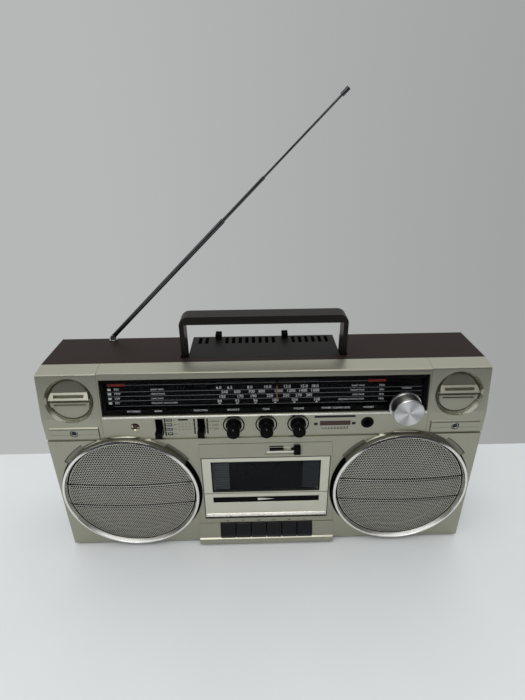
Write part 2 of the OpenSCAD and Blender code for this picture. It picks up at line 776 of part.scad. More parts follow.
module rear_cabinet() color(brown) placed() difference() {
    union() {
        difference() {
            box([-half_w, rear_y, 0], [half_w, body_d, body_h]);
            box([-half_w + rear_wall, rear_y - 1, rear_wall], [half_w - rear_wall, back_in, body_h - rear_wall]);
        }
        box([-bay_half - bay_wall, body_d - bay_depth - bay_wall, bay_z - bay_wall],
            [bay_half + bay_wall, body_d - 1, bay_top + bay_wall]);
        box([-cover_half - 4, cover_y - 2, rear_wall - 1], [cover_half + 4, body_d - 1, cover_top + 3]);
        box([-slot_outer - slot_wall, slot_front - slot_wall, slot_floor - slot_wall],
            [-slot_inner + slot_wall, body_d, body_h]);
        box([slot_inner - slot_wall, slot_front - slot_wall, slot_floor - slot_wall],
            [slot_outer + slot_wall, body_d, body_h]);
        box([-slot_inner, slot_front - slot_wall, vent_z - rear_wall], [slot_inner, body_d, body_h]);
        for (spot = screw_spots) bar_y(spot[0], spot[1], rear_y, body_d - 1, boss_r);
        bar_z(aerial_x, aerial_y, body_h - 9, body_h - 1, stud_r + 1.4);
    }
    both_sides() box([slot_inner, slot_front, slot_floor], [slot_outer, body_d + 1, body_h + 1]);
    box([-slot_inner - 1, slot_front, vent_z], [slot_inner + 1, body_d + 1, body_h + 1]);
    box([-vent_count * vent_pitch / 2, body_d - 3 - vent_len, vent_z - rear_wall - 1],
        [vent_count * vent_pitch / 2, body_d - 4, body_h]);
    bar_x(-slot_outer - slot_wall - 1, slot_outer + slot_wall + 1, pivot_y, pivot_z, pivot_r + run_gap);
    box([-bay_half, body_d - bay_depth, bay_z], [bay_half, body_d + 1, bay_top]);
    box([-cover_half - move_gap, cover_y - seam, cover_pin_z - cover_edge_r - move_gap],
        [cover_half + move_gap, body_d + 1, cover_top + move_gap]);
    bar_x(-cover_half - 3, cover_half + 3, cover_pin_y, cover_pin_z, cover_pin_r + run_gap);
    for (spot = screw_spots) {
        bar_y(spot[0], spot[1], rear_y - 1, body_d, screw_r + 0.3);
        bar_y(spot[0], spot[1], screw_head_y, body_d + 1, screw_head_r + 0.3);
    }
    box([inlet_x - inlet_w / 2 - seam, back_in - 1, inlet_z - inlet_h / 2 - seam],
        [inlet_x + inlet_w / 2 + seam, body_d + 1, inlet_z + inlet_h / 2 + seam]);
    bar_z(aerial_x, aerial_y, body_h - 10, body_h + 1, stud_r + run_gap);
}

module battery_cover() color(brown) placed() difference() {
    union() {
        box([-cover_half, cover_y, cover_pin_z], [cover_half, cover_y + cover_t, cover_top]);
        bar_x(-cover_half, cover_half, cover_pin_y, cover_pin_z, cover_edge_r);
        bar_x(-cover_half - 2.5, cover_half + 2.5, cover_pin_y, cover_pin_z, cover_pin_r);
    }
    for (x = [-cover_half / 2, cover_half / 2], i = [0:3])
        box([x - 9, cover_y + cover_t - 0.8, cover_top - 8 - 3 * i], [x + 9, body_d, cover_top - 6.5 - 3 * i]);
}

// Leaf contacts on the two end walls of the bay
module battery_contacts() color(steel) placed() both_sides() for (row = [1, 3]) {
    z = bay_z + bay_h * row / 4;
    y = body_d - bay_depth / 2 - 2;
    box([bay_half - 0.6, y - contact_half, z - contact_half], [bay_half - 0.1, y + contact_half, z + contact_half]);
    prism_z_leaf(bay_half - 0.6, y, z);
}

// Bowed tongue of one leaf contact
module prism_z_leaf(x, y, z) translate([x, y, z - 4]) linear_extrude(8)
    polygon([[0.1, -7], [-2.6, -1], [-2.6, 1], [0.1, 7], [0.1, 6.2], [-2.1, 0.7], [-2.1, -0.7], [0.1, -6.2]]);

// Vented plate between the handle arms, with the two aerial rests on its rear edge
module top_grille() color(black) placed() difference() {
    rest_half = tube_r + 1.4;
    union() {
        box([-slot_inner + seam, slot_front + seam, vent_z], [slot_inner - seam, body_d, body_h]);
        for (x = [rest_left_x, rest_right_x])
            box([x - rest_w / 2, aerial_y - rest_half, body_h - 1],
                [x + rest_w / 2, aerial_y + rest_half, aerial_z + 2.7]);
    }
    for (i = [0:vent_count - 1]) {
        x = (i - (vent_count - 1) / 2) * vent_pitch;
        if (abs(x - rest_left_x) > rest_w && abs(x - rest_right_x) > rest_w)
            box([x - vent_w / 2, body_d - 3 - vent_len, vent_z - 1], [x + vent_w / 2, body_d - 3, body_h + 1]);
    }
    for (x = [rest_left_x, rest_right_x]) {
        bar_x(x - rest_w, x + rest_w, aerial_y, aerial_z, tube_r + move_gap);
        box([x - rest_w, aerial_y - tube_r - move_gap, aerial_z],
            [x + rest_w, aerial_y + tube_r + move_gap, aerial_z + 9]);
    }
}

module feet() color(black) placed() both_sides() for (y = [front_d / 2, body_d - 12])
    bar_z(half_w - foot_inset, y, -foot_h, 0, foot_r);

module screws() color(steel) placed() for (spot = screw_spots) difference() {
    turned_y(spot[0], spot[1], [[0, screw_tip_y], [screw_r, screw_tip_y + 1], [screw_r, screw_head_y],
        [screw_head_r, screw_head_y], [screw_head_r, screw_head_y + 2.4], [0, screw_head_y + 2.4]]);
    for (turn = [0, 90]) translate([spot[0], screw_head_y + 1.6, spot[1]]) rotate([0, turn, 0])
        translate([-1.8, 0, -0.4]) cube([3.6, 2, 0.8]);
}

module mains_inlet() color(black) placed() {
    difference() {
        box([inlet_x - inlet_w / 2, body_d - 16, inlet_z - inlet_h / 2],
            [inlet_x + inlet_w / 2, body_d, inlet_z + inlet_h / 2]);
        box([inlet_x - inlet_w / 2 + 3, body_d - 11, inlet_z - inlet_h / 2 + 2.5],
            [inlet_x + inlet_w / 2 - 3, body_d + 1, inlet_z + inlet_h / 2 - 2.5]);
    }
    for (side = [-1, 1]) bar_y(inlet_x + side * 4.3, inlet_z, body_d - 12, body_d - 3, 1.2);
}

// Dial

module dial_scale() color(black) placed() difference() {
    on_dial() box([-dial_half + 0.4, scale_depth, scale_low], [dial_half - 0.4, scale_depth + scale_t, scale_top]);
    bar_y(tuning_x, tuning_z, -1, front_d, shaft_r + 1);
}

module dial_lens() color("#40464A") placed() difference() {
    on_dial() box([-dial_half + seam, lens_recess, dial_low + seam], [dial_half - seam, pocket_d, dial_top - seam]);
    bar_y(tuning_x, tuning_z, -2, front_d, shaft_r + 1);
}

// Pointer blade, the hook over the scale's upper edge and the arm down to the cord
module dial_pointer() color("#C4562E") placed() {
    blade_y = pocket_d + 1.9;
    back_y = scale_depth + scale_t + move_gap;
    hook_low = scale_top + 0.3;
    hook_top = scale_top + 1.5;
    clamp_top = cord_top + 3;
    strap_t = 1.2;
    arm_low = (cord_top + 0.5 - fold_z + (back_y + strap_t) * sin(lean_deg)) / cos(lean_deg);
    clamp_y = back_y / cos(lean_deg) + (clamp_top - fold_z) * tan(lean_deg) + 0.1;
    on_dial() {
        box([pointer_x - pointer_w / 2, blade_y, pointer_tip], [pointer_x + pointer_w / 2, blade_y + 0.8, hook_top]);
        box([pointer_x - 4, blade_y, hook_low], [pointer_x + 4, back_y + strap_t, hook_top]);
        box([pointer_x - 4, back_y, arm_low], [pointer_x + 4, back_y + strap_t, hook_top]);
    }
    box([pointer_x - 3, clamp_y, cord_top + 0.3], [pointer_x + 3, cord_y + 0.8, clamp_top]);
}

module dial_cord() color("#B8A88A") placed()
    loop_band([tuning_x, tuning_z], spool_r + cord_gap, [-drum_x, drum_z], drum_r + cord_gap,
        cord_t, cord_y, cord_t / 2);

module dial_drum() color("#D8D4C8") placed()
    turned_y(-drum_x, drum_z, [[0, cord_y - drum_half_t - 1], [2, cord_y - drum_half_t - 1],
        [2, cord_y - drum_half_t], [drum_r, cord_y - drum_half_t], [drum_r, cord_y + drum_half_t],
        [2, cord_y + drum_half_t], [2, board_y + board_t], [0, board_y + board_t]]);

module tuning_shaft() color(steel) placed()
    turned_y(tuning_x, tuning_z, [[0, 6 - tuning_reach], [shaft_r, 6 - tuning_reach], [shaft_r, cord_y - drum_half_t],
        [spool_r, cord_y - drum_half_t], [spool_r, cord_y + drum_half_t], [shaft_r, cord_y + drum_half_t],
        [shaft_r, board_y + board_t], [0, board_y + board_t]]);

module tuning_knob() color(chrome) placed()
    turned_y(tuning_x, tuning_z, [[shaft_r + 0.02, -1], [tuning_flange_r, -1], [tuning_flange_r, -3.2],
        [tuning_r, -3.2], [tuning_r, 0.8 - tuning_reach], [tuning_r - 0.8, -tuning_reach], [0, -tuning_reach],
        [0, 5.9 - tuning_reach], [shaft_r + 0.02, 5.9 - tuning_reach]]);

// Knobs and switches

module control_knob(x) color(black) placed()
    turned_y(x, control_z, [[0, -knob_reach], [knob_r - 1.1, -knob_reach], [knob_r - 0.3, 0.8 - knob_reach],
        [knob_r, -2.6], [knob_skirt_r, -2.2], [knob_skirt_r, -0.6], [shaft_r, -0.6], [shaft_r, board_y - 4],
        [0, board_y - 4]]);

module balance_knob() control_knob(balance_x);

module tone_knob() control_knob(tone_x);

module volume_knob() control_knob(volume_x);

module control_pots() color(steel) placed() for (x = [balance_x, tone_x, volume_x])
    turned_y(x, control_z, [[shaft_r + run_gap, front_wall + seam], [bush_r + 0.6, front_wall + seam],
        [bush_r + 0.6, pot_y], [pot_r, pot_y], [pot_r, board_y], [0, board_y], [0, board_y - 3.6],
        [shaft_r + run_gap, board_y - 3.6]]);

// Slide lever that moves up and down in the control strip
module strip_lever(x) color(black) placed() {
    low = block_z + lever_low + move_gap;
    box([x - lever_w / 2, -lever_reach, low], [x + lever_w / 2, 12, low + lever_h]);
    box([x - lever_w / 2 - 3, front_wall + move_gap, low - 2],
        [x + lever_w / 2 + 3, front_wall + 2, low + lever_h + 2]);
}

module band_lever() strip_lever(band_x);

module function_lever() strip_lever(function_x);

module tape_lever() color(black) placed() {
    box([tape_lever_x - tape_cap_w / 2, -3.5, switch_z - 4.5], [tape_lever_x + tape_cap_w / 2, 0.6, switch_z + 4.5]);
    box([tape_lever_x - tape_cap_w / 2, 0, switch_z - tape_neck / 2],
        [tape_lever_x + tape_cap_w / 2, 9, switch_z + tape_neck / 2]);
    box([tape_lever_x - 6, front_wall + move_gap, switch_z - 3.6],
        [tape_lever_x + 6, front_wall + 2, switch_z + 3.6]);
}

module level_meter() color("#4A1E16") placed() {
    box([meter_x - meter_w / 2, 0.3, control_z - meter_h / 2], [meter_x + meter_w / 2, 6, control_z + meter_h / 2]);
    box([meter_x - meter_w / 2 - 1, front_wall + seam, control_z - meter_h / 2 - 1],
        [meter_x + meter_w / 2 + 1, 12, control_z + meter_h / 2 + 1]);
}

module phones_jack() color(black) placed()
    turned_y(jack_x, control_z, [[jack_bore_r, -0.8], [jack_nut_r - 0.5, -0.8], [jack_nut_r, -0.3],
        [jack_nut_r, -0.05], [jack_body_r, -0.05], [jack_body_r, jack_bore_d + 1.2], [0, jack_bore_d + 1.2],
        [0, jack_bore_d - 0.8], [jack_bore_r, jack_bore_d - 0.8]]);

module stereo_lamp() color("#7A1E1E") placed() {
    bar_y(lamp_x, control_z, 1.2, 10, lamp_r);
    translate([lamp_x, 1.2, control_z]) intersection() {
        sphere(r = lamp_r);
        translate([-lamp_r, -0.9, -lamp_r]) cube(2 * lamp_r);
    }
}

// Board with the tuning capacitor, the switch bodies and its larger components
module circuit_board() color(phenolic) placed() difference() {
    union() {
        box([-board_half, board_y, board_low], [board_half, board_y + board_t, board_top]);
        box([-drum_x - gang_w / 2, cord_y + drum_half_t + 2, drum_z - gang_h / 2],
            [-drum_x + gang_w / 2, board_y, drum_z + gang_h / 2]);
        for (x = [band_x, function_x]) box([x - 6, 12 + move_gap, board_low + 1], [x + 6, board_y, board_low + 14]);
        for (i = [1:4]) box([i * 1.4 * part_w, board_y - part_h, board_top - part_h - board_edge],
            [i * 1.4 * part_w + part_w, board_y, board_top - board_edge]);
        for (i = [1:4]) bar_y(-i * 3.5 * part_r, board_top - board_edge - part_r, board_y - part_h, board_y, part_r);
    }
    both_sides() box([slot_inner - slot_wall - board_gap, board_y - 1, slot_floor - slot_wall - board_gap],
        [slot_outer + slot_wall + board_gap, board_y + board_t + 1, body_h]);
    bar_y(-drum_x, drum_z, 0, body_d, 2 + run_gap);
    bar_y(tuning_x, tuning_z, 0, body_d, shaft_r + run_gap);
}

module power_transformer() color("#6B6A66") placed() {
    x = -slot_outer - slot_wall - core_w * 0.75;
    z = block_z + core_h * 0.6;
    y = back_in - seam;
    box([x - core_w / 2, y - coil_d / 2 - core_d / 2, z - core_h / 2],
        [x + core_w / 2, y - coil_d / 2 + core_d / 2, z + core_h / 2]);
    box([x - core_coil_w / 2, y - coil_d, z - core_coil_h / 2], [x + core_coil_w / 2, y, z + core_coil_h / 2]);
    box([x - strap_w / 2, y - 2, z - strap_h / 2], [x + strap_w / 2, y, z + strap_h / 2]);
}

module microphones() color(black) placed() both_sides() bar_y(tweeter_x, mic_z, 0.6 - mic_plate_t, mic_back, mic_r);

// Speakers

module speaker_ring(side) color(chrome) placed() {
    ledge_y = grille_t - grille_reach + seam;
    lip_r = grille_r + seam;
    turned_y(side * speaker_x, speaker_z, [[grille_r - ring_w / 2, -0.05], [ring_r, -0.05],
        [ring_r, crest_w / 4 - ring_reach], [ring_r - crest_w / 4, -ring_reach], [ring_r - crest_w, -ring_reach],
        [lip_r, -grille_reach - seam], [lip_r, ledge_y], [grille_r - ring_w / 2, ledge_y]]);
}

module speaker_ring_left() speaker_ring(-1);

module speaker_ring_right() speaker_ring(1);

// Domed disc with two horizontal creases that follow the dome
module speaker_grille(side) color("#8E8C82") placed() difference() {
    steps = 10;
    rise = function(r) sqrt(dome_r * dome_r - r * r) - dome_r + grille_rise;
    front = [for (i = [0:steps]) [grille_r * i / steps, -grille_reach - rise(grille_r * i / steps)]];
    back = [for (i = [steps:-1:0]) front[i] + [0, grille_t]];
    turned_y(side * speaker_x, speaker_z, concat(front, back));
    for (z = [-crease_half, crease_half]) {
        r = sqrt(dome_r * dome_r - z * z) - crease_d;
        translate([side * speaker_x, dome_r - grille_rise - grille_reach, speaker_z + z]) rotate_extrude($fn = 720)
            polygon([[r, 0], [r + 3, -8], [r + 3, 8]]);
    }
}

module speaker_grille_left() speaker_grille(-1);

module speaker_grille_right() speaker_grille(1);

module woofer_frames() color("#55565A") placed() both_sides() {
    rim_y = front_wall + seam;
    neck_y = woofer_d - magnet_t;
    lip_r = speaker_hole_r - rim_t * 0.75;
    turned_y(speaker_x, speaker_z, [[lip_r, rim_y], [woofer_r, rim_y], [woofer_r, rim_y + rim_t],
        [woofer_r - 1.75 * rim_t, rim_y + rim_t], [magnet_r, neck_y], [magnet_r, woofer_d], [0, woofer_d],
        [0, neck_y + 1.5 * rim_t], [magnet_r - 2.5 * rim_t, neck_y + 1.5 * rim_t], [magnet_r - 2.5 * rim_t, neck_y],
        [magnet_r - 1.25 * rim_t, neck_y - 0.75 * rim_t], [lip_r, rim_y + rim_t]]);
}

module woofer_cones() color("#26241F") placed() both_sides() {
    rim_y = front_wall + 1;
    apex_y = rim_y + cone_d;
    coil_y = woofer_d - magnet_t + 1.5 * rim_t - 0.3;
    turned_y(speaker_x, speaker_z, [[0, apex_y - 3.4], [0, apex_y - 2.4], [0.65 * coil_r, apex_y - 1.3],
        [coil_r, apex_y + 1.3], [coil_r, coil_y], [coil_r + coil_t, coil_y], [coil_r + coil_t, apex_y + 2],
        [cone_rim_r - cone_roll, rim_y + 1.8], [cone_rim_r, rim_y + 1], [cone_rim_r, rim_y],
        [cone_rim_r - 1.3 * cone_roll, rim_y], [coil_r + 0.5, apex_y], [0.65 * coil_r, apex_y - 2.4]]);
}

// Slotted horn plug in each corner dish
module tweeters() color(champagne) placed() both_sides() on_dial() translate([tweeter_x, 0, tweeter_rise]) {
    floor_y = dish_d - 0.1;
    bar_y = -dish_d / 4;
    ridge_y = dish_d / 4;
    gap_y = 0.6 * dish_d;
    unit = plug_r / 19;
    difference() {
        intersection() {
            rotate([-90, 0, 0]) translate([0, 0, -dish_d]) cylinder(h = 2 * dish_d - 0.1, r = plug_r);
            prism_x([[floor_y, -plug_r], [0.8 * dish_d, -plug_r], [0.64 * dish_d, -7 * unit], [ridge_y, -6.4 * unit],
                [ridge_y, -1.6 * unit], [gap_y, -1.4 * unit], [gap_y, 1.4 * unit], [bar_y, 1.6 * unit],
                [0.45 * dish_d, 8 * unit], [0.5 * dish_d, 8.3 * unit], [0.8 * dish_d, plug_r], [floor_y, plug_r]],
                -plug_r, plug_r);
        }
        box([-0.75 * plug_r, -dish_d, 3.6 * unit], [0.75 * plug_r, 0.6 * dish_d, 6.1 * unit]);
        box([-0.8 * plug_r, -dish_d, -4.6 * unit], [0.8 * plug_r, 0.54 * dish_d, -3.4 * unit]);
    }
    rotate([-90, 0, 0]) translate([0, 0, 0.8 * dish_d]) cylinder(h = 2.2 * dish_d, r = tweeter_magnet_r);
}

// Cassette door and deck

module cassette_door() color(champagne) placed() difference() {
    union() {
        box([-door_half, 0, door_z], [door_half, door_t, door_top]);
        prism_x([[1, door_z], [0, door_z], [0, door_z + 0.3 * bar_h], [0.4 - bar_reach, door_z + 0.4 * bar_h],
            [-bar_reach, door_z + 0.5 * bar_h], [-0.3, door_z + bar_h], [1, door_z + bar_h]],
            -door_half + 0.5, door_half - 0.5);
        both_sides() {
            box([door_half - lug_t, 1, door_z], [door_half, lug_back, door_z + 6]);
            bar_x(door_half - 1, deck_half - 0.3, door_pin_y, door_pin_z, door_pin_r);
            box([window_w / 2 - 3, door_t - 1, door_z + 12], [window_w / 2 - 1, door_t + 4.5, door_top - 3]);
        }
    }
    box([-window_w / 2, -1, door_z + window_low], [window_w / 2, door_t, door_z + window_low + window_h]);
    box([-window_w / 2, -1, door_z + window_low - 14.2], [window_w / 2, 0.8, door_z + window_low - 6.6]);
    box([-door_half - 1, -1, door_z + window_low - 1.8], [door_half + 1, 1.1, door_z + window_low - 0.8]);
}

module door_window() color("#23282B") placed()
    box([-window_w / 2 + 0.1, window_recess, door_z + window_low + 0.1],
        [window_w / 2 - 0.1, window_recess + window_t, door_z + window_low + window_h - 0.1]);

module tape_deck() color("#2B2C2E") placed() difference() {
    union() {
        box([-deck_half, deck_y, deck_low], [deck_half, deck_back, deck_high]);
        both_sides() {
            box([deck_half - deck_wall, deck_front, deck_low], [deck_half, deck_back, deck_high]);
            box([38, 12.4, reel_z - 6], [window_w / 2 - 1, deck_y + 1, reel_z + 26]);
        }
        box([-deck_half, deck_front, deck_low], [deck_half, deck_back, deck_low + 1.4]);
        box([-deck_half, deck_front, deck_high - 2], [deck_half, deck_back, deck_high]);
        for (spot = [[-9, 5], [4, 10]])
            bar_y(motor_x + spot[0], motor_z + spot[1], deck_back - 1, motor_y - seam, 2.2);
    }
    for (x = [-reel_pitch / 2, reel_pitch / 2]) bar_y(x, reel_z, deck_y - 1, deck_back + 1, axle_r + run_gap);
    bar_y(capstan_x, capstan_z, deck_y - 1, deck_back + 1, capstan_r + run_gap);
    bar_x(-deck_half - 1, deck_half + 1, door_pin_y, door_pin_z, door_pin_r + run_gap);
}

module tape_motor() color(steel) placed() difference() {
    bar_y(motor_x, motor_z, motor_y, motor_y + motor_len, motor_r);
    bar_y(motor_x, motor_z, motor_y - 1, motor_y + 8, 1 + run_gap);
}

module motor_pulley() color("#C9A14A") placed()
    turned_y(motor_x, motor_z, [[0, belt_y - 2.5], [pulley_r, belt_y - 2.5], [pulley_r, belt_y + 2.5],
        [1, belt_y + 2.5], [1, motor_y + 7], [0, motor_y + 7]]);

module drive_belt() color(black) placed()
    loop_band([capstan_x, capstan_z], flywheel_r + 0.3, [motor_x, motor_z], pulley_r + 0.3, 1.2, belt_y, belt_half);

module flywheel() color(steel) placed()
    turned_y(capstan_x, capstan_z, [[0, 9], [capstan_r, 9], [capstan_r, wheel_front], [flywheel_r, wheel_front],
        [flywheel_r, wheel_back], [flywheel_r - 5, wheel_back], [flywheel_r - 6, wheel_front + 3],
        [4, wheel_front + 3], [4, wheel_back], [0, wheel_back]]);

module tape_reel(x) color(black) placed()
    turned_y(x, reel_z, [[0, 8.5], [spindle_r - 1.2, 8.5], [spindle_r, 9.8], [spindle_r, plate_y - 3.4],
        [reel_r, plate_y - 3.4], [reel_r, plate_y], [axle_r, plate_y], [axle_r, deck_back + 0.5],
        [axle_r + 1.2, deck_back + 0.5], [axle_r + 1.2, deck_back + 1.5], [0, deck_back + 1.5]]);

module supply_reel() tape_reel(-reel_pitch / 2);

module takeup_reel() tape_reel(reel_pitch / 2);

// Sliding plate with the record and erase heads and the pinch roller's pin
module head_plate() color(steel) placed() {
    box([-head_plate_half, plate_y - 1.2, head_low], [head_plate_half, plate_y, head_high]);
    box([-head_w / 2, head_y, head_high - 4], [head_w / 2, plate_y - 1, head_high + 3]);
    box([-erase_x - erase_w / 2, head_y + 1.5, head_high - 4], [-erase_x + erase_w / 2, plate_y - 1, head_high + 3]);
    bar_y(capstan_x, pinch_z, 9.5, plate_y - 1, capstan_r);
}

module pinch_roller() color(black) placed()
    turned_y(capstan_x, pinch_z, [[capstan_r + run_gap, 10], [pinch_r, 10], [pinch_r, plate_y - 2.4],
        [capstan_r + run_gap, plate_y - 2.4]]);

// Keys

module key_base() color(champagne) placed() {
    difference() {
        prism_x([[-seam, 0], [-lip_reach, 0.4], [-lip_reach, lip_h - 1.2], [-base_reach, lip_h],
            [-base_edge, base_h], [-seam, base_h]], -base_w / 2, base_w / 2);
        box([-pocket_half - 0.3, -lip_reach + lip_t, 2], [pocket_half + 0.3, 1, base_h + 1]);
        box([-pocket_half - 0.3, -lip_reach - 1, lip_h], [pocket_half + 0.3, 1, base_h + 1]);
    }
    bar_x(-pocket_half - 2, pocket_half + 2, rod_y_pos, rod_z_pos, key_rod_r);
}

// One piano key, counted from the left
module tape_key(index) color(black) placed() {
    x = (index - (key_count - 1) / 2) * key_pitch;
    stem_front = -lip_reach + lip_t + move_gap;
    translate([x, 0, 0]) difference() {
        prism_x([[stem_front + 1, 3], [stem_front, 4.4], [stem_front, key_cap_low], [0.6 - key_reach, key_cap_low],
            [-key_reach, key_cap_low + 0.8], [-key_reach, key_cap_low + 3], [0.6 - key_reach, key_face_low],
            [-base_edge - 0.6, key_top - 0.6], [-base_edge, key_top], [key_t - base_edge, key_top],
            [key_t - base_edge, key_top - 3], [-2.4, key_cap_low], [0.6, key_cap_low - 1], [0.6, 3]],
            -key_w / 2, key_w / 2);
        bar_x(-key_w, key_w, rod_y_pos, rod_z_pos, key_rod_r + run_gap);
    }
}

module record_key() tape_key(0);

module play_key() tape_key(1);

module rewind_key() tape_key(2);

module forward_key() tape_key(3);

module stop_key() tape_key(4);

module pause_key() tape_key(5);

// Handle and aerial

// Half of the handle's outline in X and Z, with a round outer corner
module handle_half() {
    outer = arm_inner + arm_t;
    difference() {
        union() {
            translate([0, pivot_z]) square([outer, grip_rise - handle_corner]);
            translate([0, pivot_z]) square([outer - handle_corner, grip_rise]);
            translate([outer - handle_corner, grip_top_z - handle_corner]) circle(r = handle_corner);
        }
        translate([-1, pivot_z - 1]) square([arm_inner + 1, grip_rise - grip_t + 1]);
        translate([-2 * handle_corner, pivot_z]) square([2 * handle_corner, grip_rise + 1]);
    }
}

module handle() color(black) placed() both_sides() {
    translate([0, pivot_y + arm_end_r, 0]) rotate([90, 0, 0]) linear_extrude(handle_depth) handle_half();
    bar_x(arm_inner, arm_inner + arm_t, pivot_y, pivot_z, arm_end_r);
    bar_x(slot_inner - slot_wall, slot_outer + slot_wall, pivot_y, pivot_z, pivot_r);
}

// Swivelling stud with the fork and pin of the aerial's tilt joint
module antenna_base() color(chrome) placed() {
    bar_z(aerial_x, aerial_y, body_h - 9.5, body_h + 0.3, stud_r);
    bar_z(aerial_x, aerial_y, body_h + 0.1, body_h + 1.3, stud_r + 1.2);
    for (side = [-1, 1]) translate([0, side * (tongue_half + run_gap + fork_t / 2) - fork_t / 2, 0]) {
        bar_y(aerial_x, aerial_z, aerial_y, aerial_y + fork_t, knuckle_r - 0.2);
        box([aerial_x - knuckle_r + 0.2, aerial_y, body_h + 0.5],
            [aerial_x + knuckle_r - 0.2, aerial_y + fork_t, aerial_z]);
    }
    bar_y(aerial_x, aerial_z, aerial_y - tongue_half - fork_t, aerial_y + tongue_half + fork_t, aerial_pin_r);
}

// Frame along the aerial, from its tilt pivot
module along_aerial() placed() translate([aerial_x, aerial_y, aerial_z])
    rotate([0, 90 - aerial_deg, 0]) children();

module antenna_tube_lower() color(chrome) along_aerial() difference() {
    union() {
        translate([0, 0, knuckle_reach]) cylinder(h = tube_len - knuckle_reach, r = tube_r);
        rotate([-90, 0, 0]) translate([0, 0, -tongue_half]) cylinder(h = 2 * tongue_half, r = knuckle_r - 0.4);
        translate([-knuckle_r + 0.4, -tongue_half, 0])
            cube([2 * knuckle_r - 0.8, 2 * tongue_half, knuckle_reach + 1]);
    }
    rotate([-90, 0, 0]) translate([0, 0, -4]) cylinder(h = 8, r = aerial_pin_r + run_gap);
    translate([0, 0, knuckle_reach + 2]) cylinder(h = tube_len, r = middle_r + run_gap);
}

module antenna_tube_middle() color(chrome) along_aerial() difference() {
    translate([0, 0, tube_len + middle_out - middle_len]) cylinder(h = middle_len, r = middle_r);
    translate([0, 0, tube_len + middle_out - middle_len + 2]) cylinder(h = middle_len, r = upper_r + run_gap);
}

module antenna_tube_upper() color(chrome) along_aerial() translate([0, 0, tube_len + middle_out + upper_out]) {
    translate([0, 0, -upper_len]) cylinder(h = upper_len + 0.5, r = upper_r);
    cylinder(h = tip_len, r = tip_r);
}

front_cabinet();
corner_panel_left();
corner_panel_right();
rear_cabinet();
battery_cover();
battery_contacts();
top_grille();
feet();
screws();
mains_inlet();
dial_scale();
dial_lens();
dial_pointer();
dial_cord();
dial_drum();
tuning_shaft();
tuning_knob();
balance_knob();
tone_knob();
volume_knob();
control_pots();
band_lever();
function_lever();
tape_lever();
level_meter();
phones_jack();
stereo_lamp();
circuit_board();
power_transformer();
microphones();
speaker_ring_left();
speaker_ring_right();
speaker_grille_left();
speaker_grille_right();
woofer_frames();
woofer_cones();
tweeters();
cassette_door();
door_window();
tape_deck();
tape_motor();
motor_pulley();
drive_belt();
flywheel();
supply_reel();
takeup_reel();
head_plate();
pinch_roller();
key_base();
record_key();
play_key();
rewind_key();
forward_key();
stop_key();
pause_key();
handle();
antenna_base();
antenna_tube_lower();
antenna_tube_middle();
antenna_tube_upper();
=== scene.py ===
"""Looks of a portable radio cassette player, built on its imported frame."""
import math

import bmesh
import bpy
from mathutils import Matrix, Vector


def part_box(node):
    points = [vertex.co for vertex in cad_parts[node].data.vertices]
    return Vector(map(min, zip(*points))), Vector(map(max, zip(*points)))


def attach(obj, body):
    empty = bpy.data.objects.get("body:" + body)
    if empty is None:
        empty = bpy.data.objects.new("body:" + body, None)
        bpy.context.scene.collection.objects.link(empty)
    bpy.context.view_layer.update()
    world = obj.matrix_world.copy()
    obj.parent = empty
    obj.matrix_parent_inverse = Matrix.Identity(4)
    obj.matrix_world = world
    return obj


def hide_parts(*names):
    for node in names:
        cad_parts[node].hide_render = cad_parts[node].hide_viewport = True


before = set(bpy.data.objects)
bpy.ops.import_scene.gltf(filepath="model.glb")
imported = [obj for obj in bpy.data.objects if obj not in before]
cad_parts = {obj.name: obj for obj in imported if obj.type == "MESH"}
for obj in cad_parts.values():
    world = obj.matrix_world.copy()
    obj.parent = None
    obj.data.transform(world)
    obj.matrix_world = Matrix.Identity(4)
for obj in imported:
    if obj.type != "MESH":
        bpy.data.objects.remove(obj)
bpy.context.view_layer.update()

bl_info = {
    "name": "Radio cassette player",
    "version": (1, 0, 0),
    "blender": (4, 5, 0),
    "location": "View3D > Sidebar > Radio",
    "description": "Dresses the packed frame of a portable radio cassette player",
    "category": "Object",
}

MM = 0.001
PANEL_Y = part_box("front_cabinet")[0][1]
FLOOR_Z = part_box("front_cabinet")[0][2]
FOLD_Z = 166.8  # foot of the leaning dial face, mm
LEAN = math.atan2(7.6, 44.5)
CONTROLS_Z = 156.3  # middle of the control strip, mm
KNOBS = (("balance", -31.0), ("tone", 0.7), ("volume", 31.8))
CORNER_X = 186.4  # middle of each corner panel, mm
TWEETER_UP = 18.28
PRINT_Y = -0.01  # ink on the front panel, mm
KEY_PITCH = 16.8
KEY_SIGN_Z = 28.2
SMOOTH_ANGLE = math.radians(35)
FINE_PIECE = 40000  # polygons from which a piece keeps its own normals
CAMERA_AT = (-0.00803, -0.39555, 0.42125)
CAMERA_TURN = (63.4776, 0.5697, -1.2063)  # degrees
CAMERA_LENS = 23.26


# Places and colours


def at(x, y, z):
    """A place in millimetres from the front panel's lower middle, in the frame's metres."""
    return Vector((x * MM, PANEL_Y + y * MM, FLOOR_Z + z * MM))


def on_dial(x, depth, up):
    """A place on the leaning dial face: across, into it and up along it."""
    return at(x, depth * math.cos(LEAN) + up * math.sin(LEAN),
              FOLD_Z + up * math.cos(LEAN) - depth * math.sin(LEAN))


def linear(code):
    """An sRGB hex colour as a linear colour with alpha."""
    parts = [int(code[i:i + 2], 16) / 255 for i in (1, 3, 5)]
    return [p / 12.92 if p <= 0.04045 else ((p + 0.055) / 1.055) ** 2.4 for p in parts] + [1.0]


def plain(colour, factor=1.0):
    """A colour made lighter or darker, with alpha, for a socket."""
    return [c * factor for c in colour[:3]] + [1.0]


def middle(node):
    """The middle of a node's box, across and up."""
    low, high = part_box(node)
    return (low[0] + high[0]) / 2, (low[2] + high[2]) / 2


# Finishes


